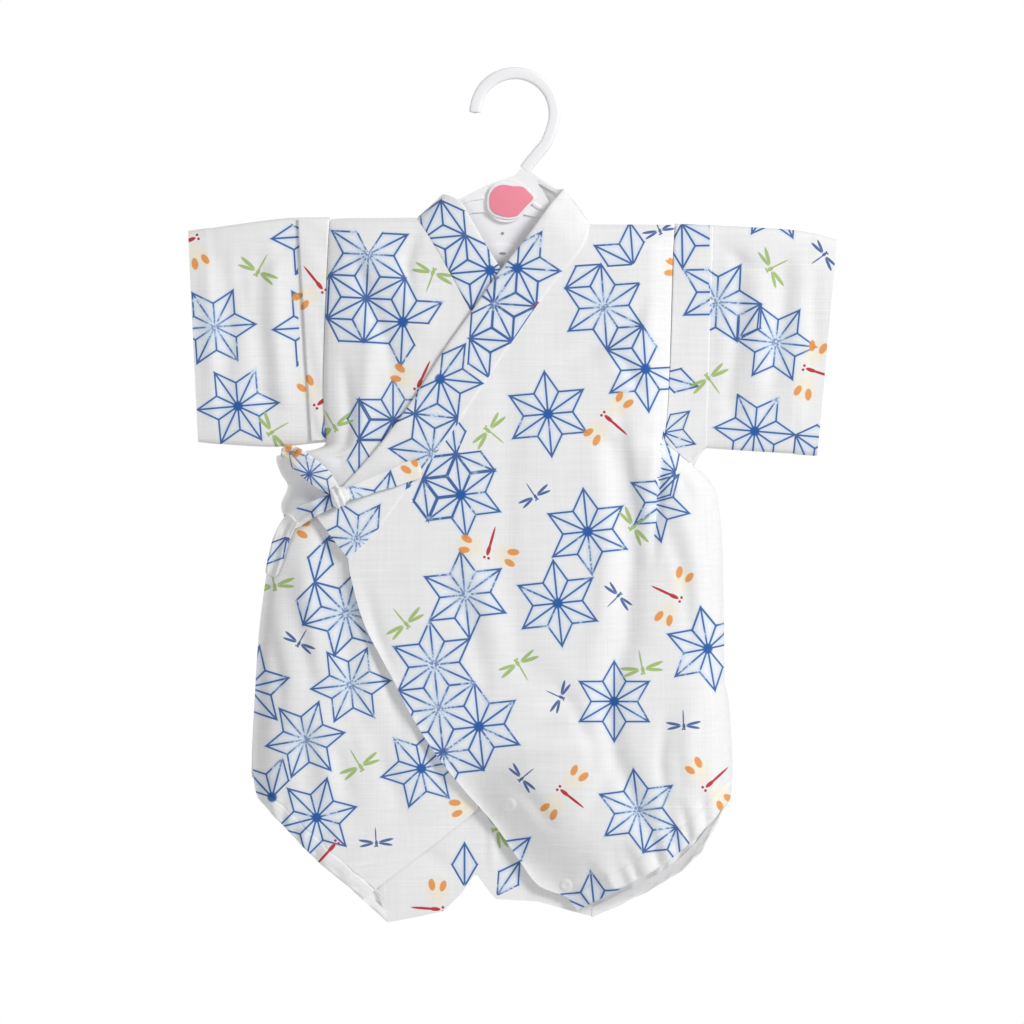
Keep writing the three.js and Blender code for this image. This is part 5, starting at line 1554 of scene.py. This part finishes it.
# %% Tie stretches: x, z, height above the cloth, width, thickness
tie_paths = {
    "strap": [
        (-57, -234.6, 2.2, 11.5, 1.6), (-65, -236.4, 2.3, 12, 1.7), (-74, -240.2, 2.6, 11, 1.9),
        (-84, -243.4, 3, 9.8, 2.2), (-93, -247, 3.6, 9.2, 2.8), (-102.5, -250.4, 4.6, 7.5, 3.4),
    ],
    "bundle": [
        (-109.5, -253.4, 5.6, 7.5, 4.2), (-114, -255.2, 5.4, 8.5, 4.0),
        (-119.6, -257.8, 5.6, 9, 3.8),
        (-126, -261, 3.6, 9.8, 3.6), (-132, -264.2, 3.2, 11, 3.4), (-136, -266.6, 4.2, 10, 3.2),
    ],
    "tail": [
        (-133.4, -264, 6.2, 9, 2.6), (-136.4, -267.6, 5.6, 9.4, 2.4), (-139.4, -273, 4, 9.6, 2.0),
        (-141.8, -279, 2.8, 9.8, 1.8), (-144.6, -289, 2.3, 9.4, 1.7),
        (-147.8, -299.6, 2.3, 7.6, 1.6),
    ],
    "loop": [
        (-108.6, -248.6, 5.2, 7.5, 4.0), (-112.6, -244.6, 4.8, 10.5, 4.2),
        (-118, -239.6, 4.6, 13.2, 4.4),
        (-126, -233, 4.8, 13.2, 4.6), (-134, -226.6, 4.8, 11.4, 4.4),
        (-141.2, -222.6, 4.6, 6.6, 3.6),
    ],
}
tie_wrinkles = {"strap": 0.22, "bundle": 0.75, "tail": 0.3, "loop": 0.42}


def make_tie(name, depth):
    rows = tie_paths[name]
    count = len(rows) - 1
    lines = [smooth_line([(i / count, row[c]) for i, row in enumerate(rows)]) for c in range(5)]

    def shape(u, v):
        x, z, lift, width, thickness = (line(v) for line in lines)
        step = 0.01
        low, high = np.clip(v - step, 0, 1), np.clip(v + step, 0, 1)
        dx, dz = lines[0](high) - lines[0](low), lines[1](high) - lines[1](low)
        length = np.hypot(dx, dz)
        side_x, side_z = -dz / length, dx / length
        angle = 2 * np.pi * u
        closed = np.sqrt(np.clip(1 - (np.abs(2 * v - 1) ** 26), 0, 1))
        c, s = np.cos(angle), np.sin(angle)
        across = np.sign(c) * np.abs(c) ** 0.8 * width / 2 * closed
        deep = np.sign(s) * np.abs(s) ** 0.75 * thickness / 2 * closed
        wrinkle = np.sin(5 * angle + 3.1 * v) * 0.6 + np.sin(9 * angle + 5 * v + 1) * 0.4
        deep = deep + tie_wrinkles[name] * wrinkle * closed * np.abs(s)
        px, pz = x + side_x * across, z + side_z * across
        foot = np.minimum(depth(x, z), depth(px, pz))
        y = np.minimum(foot - lift - thickness / 2 - deep, foot - cloth - 0.1)
        return np.stack([px, y, pz], axis=-1)

    tie = from_grid(f"tie_{name}_tube", 56, 40, shape)
    edit(tie, bpy.ops.mesh.remove_doubles, threshold=0.00003)
    edit(tie, bpy.ops.mesh.normals_make_consistent, inside=False)
    return tie


tie_parts = [
    make_tie("strap", inner_over), make_tie("bundle", inner_under),
    make_tie("tail", inner_under), make_tie("loop", inner_under),
]
knot_x, knot_z = -106.4, -251.6
knot_y = float(inner_over(knot_x, knot_z)) - cloth - 6.6
bpy.ops.object.select_all(action="DESELECT")
bpy.ops.mesh.primitive_uv_sphere_add(segments=48, ring_count=32, radius=1)
knot = bpy.context.object
for corner in knot.data.vertices:
    x, y, z = corner.co
    wrap = math.atan2(z, x)
    bands = 0.09 * math.sin(4 * (z * 0.8 + x * 0.6) * 2.4 + 1.2 * y)
    size = 1 + bands + 0.06 * math.sin(3 * wrap + 5 * y)
    turned_x, turned_z = x * 0.88 + z * 0.47, z * 0.88 - x * 0.47
    corner.co = (
        (knot_x + turned_x * 5.8 * size) * MM,
        (knot_y + y * 4.5 * size) * MM,
        (knot_z + turned_z * 6.4 * size) * MM,
    )
ties = join("ties_cloth", [tie_parts[0], knot, *tie_parts[1:]])
bpy.ops.object.shade_smooth()
ties.data.materials.append(cotton_outside)
print_on(ties, [("all", stars_ties, flies_ties)])
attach(ties, "root")
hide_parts("tie_strap", "tie_bundle", "tie_knot", "tie_loop", "tie_tail")
print("ties:", round(area_of(ties), 5), "m2 of cloth")

# %% [markdown]
# ## Snap caps
# Two round plastic caps close the inseam and show as low domes with a shallow hollow. Each is a
# grid wrapped round its middle and laid on the front's face, so that it follows the cloth.

# %% Snap caps
snap_plastic = plain_material("white snap plastic", (0.86, 0.86, 0.86), 0.7)
cap_radius = 5.4


def make_snap(name, x, z):
    def shape(u, v):
        angle = 2 * np.pi * u
        radius = cap_radius * v
        px, pz = x + radius * np.cos(angle), z + radius * np.sin(angle)
        dome = 0.75 * (1 - ease(radius, 2.4, 4.6)) - 0.16 * (1 - ease(radius, 0.6, 1.8))
        rim = 0.25 * ease(radius, cap_radius - 1, cap_radius)
        height = front_height("right_front", over_edge_at, px, pz) + dome - rim
        return raise_from(inner_over, px, pz, -1, height)

    cap = from_grid(name, 48, 14, shape)
    edit(cap, bpy.ops.mesh.remove_doubles, threshold=0.00001)
    turn_faces(cap, -1)
    wall = cap.modifiers.new("cap thickness", "SOLIDIFY")
    wall.thickness = 0.6 * MM
    wall.offset = -1
    bpy.ops.object.modifier_apply(modifier=wall.name)
    bpy.ops.object.shade_smooth_by_angle(angle=math.radians(50))
    cap.data.materials.append(snap_plastic)
    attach(cap, "root")
    return cap


snap_crotch = make_snap("snap_crotch_cap", -3.9, -435.8)
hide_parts("snap_crotch")
snap_leg = make_snap("snap_leg_cap", 30.0, -484.6)
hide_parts("snap_leg")
print("two snap caps")

# %% [markdown]
# ## The hanger
# The hanger is moulded in one piece of white plastic. Its hook is a bar with soft edges, bent
# round a circle, so it is a grid wrapped round that path. The body keeps its solid, with its
# edges softened by a Bevel modifier.

# %% Hanger
hanger_plastic = plain_material("white hanger plastic", (0.93, 0.925, 0.94), 0.4)
hook_x, hook_z, hook_radius, hook_width, hook_depth = -1.1, -20.2, 23.9, 7.2, 5.0
hook_turns = [math.radians(181 - 8.5 * i) for i in range(24)]
hook_path = [
    (hook_x + hook_radius * math.cos(a), hook_z + hook_radius * math.sin(a)) for a in hook_turns
] + [(17.6, -38.4), (13.2, -44), (8.6, -49.6), (4.4, -55)]
hook_at = even_path(hook_path)


def hook_shape(u, v):
    x, z = hook_at(v)
    low, high = hook_at(np.clip(v - 0.01, 0, 1)), hook_at(np.clip(v + 0.01, 0, 1))
    dx, dz = high[0] - low[0], high[1] - low[1]
    length = np.hypot(dx, dz)
    angle = 2 * np.pi * u
    c, s = np.cos(angle), np.sin(angle)
    closed = np.clip(1 - np.clip(1 - v / 0.012, 0, 1) ** 2, 0, 1) ** 0.5
    closed = closed * (v < 0.9999)
    across = np.sign(c) * np.abs(c) ** 0.55 * hook_width / 2 * closed
    deep = np.sign(s) * np.abs(s) ** 0.55 * hook_depth / 2 * closed
    return np.stack([x - dz / length * across, deep, z + dx / length * across], axis=-1)


hook = from_grid("hanger_hook_bar", 40, 120, hook_shape)
edit(hook, bpy.ops.mesh.remove_doubles, threshold=0.00002)
edit(hook, bpy.ops.mesh.normals_make_consistent, inside=False)
bpy.ops.object.shade_smooth_by_angle(angle=math.radians(50))
hook.data.materials.append(hanger_plastic)
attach(hook, "root")
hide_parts("hanger_hook")

hanger_body = frame["nodes"]["hanger_body"]
soft_edges = hanger_body.modifiers.new("soft edges", "BEVEL")
soft_edges.width = 0.7 * MM
soft_edges.segments = 3
soft_edges.limit_method = "ANGLE"
hanger_body.data.materials.clear()
hanger_body.data.materials.append(hanger_plastic)
print("hook and hanger body are white plastic")

# %% [markdown]
# ## The chip on the hanger's boss
# A small pink chip is pressed on the boss. It is a flat outline, filled, extruded and bevelled,
# and a raised rim of the white plastic runs round it.

# %% Chip and rim
chip_outline = [
    (-16.2, -74), (-15.6, -69.2), (-12.6, -65.3), (-8, -63.8), (-2, -64.6), (3.6, -65),
    (7.4, -68.2),
    (10.2, -71.8), (6.2, -76.4), (2.4, -80.6), (0, -82.6), (-6, -83.2), (-12.4, -81.4),
    (-15.6, -78.2),
]


def rounded_outline(points, count):
    """A closed, smooth outline through the points."""
    points = np.array(points)
    share = np.arange(count) * len(points) / count
    i = share.astype(int)
    t = (share - i)[:, None]
    before, here = points[i - 1], points[i % len(points)]
    after, beyond = points[(i + 1) % len(points)], points[(i + 2) % len(points)]
    return 0.5 * (
        2 * here + (after - before) * t + (2 * before - 5 * here + 4 * after - beyond) * t**2
        + (3 * here - before - 3 * after + beyond) * t**3
    )


def flat_piece(name, outline, front_y, thickness, edge):
    """A plate from an outline: filled circle, moved to the outline, extruded and bevelled."""
    bpy.ops.object.select_all(action="DESELECT")
    bpy.ops.mesh.primitive_circle_add(vertices=len(outline), radius=1, fill_type="NGON")
    piece = bpy.context.object
    piece.name = name
    for corner, (x, z) in zip(piece.data.vertices, outline):
        corner.co = (x * MM, front_y * MM, z * MM)
    backwards = {"value": (0, thickness * MM, 0)}
    edit(piece, bpy.ops.mesh.extrude_region_move, TRANSFORM_OT_translate=backwards)
    edit(piece, bpy.ops.mesh.normals_make_consistent, inside=False)
    rounding = piece.modifiers.new("rounded edge", "BEVEL")
    rounding.width = edge * MM
    rounding.segments = 3
    rounding.limit_method = "ANGLE"
    rounding.angle_limit = math.radians(50)
    bpy.ops.object.modifier_apply(modifier=rounding.name)
    bpy.ops.object.shade_smooth_by_angle(angle=math.radians(35))
    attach(piece, "root")
    return piece


chip_colour = plain_material("pink chip plastic", (0.93, 0.29, 0.37), 0.32)
chip = flat_piece("size_chip_plate", rounded_outline(chip_outline, 84), -4.6, 1.2, 0.3)
chip.data.materials.append(chip_colour)
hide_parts("size_chip")

middle = np.mean(np.array(chip_outline), axis=0)
rim_outline = [(middle + (np.array(p) - middle) * 1.13).tolist() for p in chip_outline]
rim = flat_piece("chip_rim", rounded_outline(rim_outline, 84), -4.1, 1.2, 0.35)
rim.data.materials.append(hanger_plastic)
print("chip and its rim")

# %% Moulded details of the hanger's middle: outline, front y, thickness, edge
# The slot and the small hole are dark grey plates laid on the white plastic: painted shade standing
# for the shade inside them.
painted_shade_plastic = plain_material("painted shade in hanger hollows", (0.33, 0.33, 0.35), 0.5)


def oval(x, z, half_width, half_height):
    return [
        (x + half_width * math.cos(a * math.pi / 6), z + half_height * math.sin(a * math.pi / 6))
        for a in range(12)
    ]


details = [
    ("hanger_lower_bar", hanger_plastic, -2.5, 1.6, 0.5, [
        (-17.7, -101), (-12, -99.6), (-5, -99.4), (0, -100.4), (4, -103), (3.2, -108.5),
        (-2, -110.5), (-8, -111), (-14, -110), (-17.6, -106.5),
    ]),
    # painted shade: dark plates stand for the shade in the slot and in the hole
    ("hanger_bar_slot", painted_shade_plastic, -2.7, 0.5, 0.1, oval(-8.4, -105, 2.1, 0.75)),
    ("hanger_small_hole", painted_shade_plastic, -1.45, 0.5, 0.1, oval(-8.4, -92.9, 0.95, 0.95)),
    ("hanger_rib_left", hanger_plastic, -3.1, 1.4, 0.4, [
        (-33.6, -73.6), (-27, -71.6), (-20.4, -70.4), (-19.6, -72.2), (-26.6, -73.4), (-33, -75.4),
    ]),
    ("hanger_rib_right", hanger_plastic, -3.1, 1.4, 0.4, [
        (9.8, -73), (13.4, -76.2), (17.4, -78), (18, -79.6), (13, -78.2), (8.8, -74.8),
    ]),
]
for name, plastic, front_y, thickness, edge, outline in details:
    detail = flat_piece(name, rounded_outline(outline, 60), front_y, thickness, edge)
    detail.data.materials.append(plastic)
print("moulded details:", len(details))
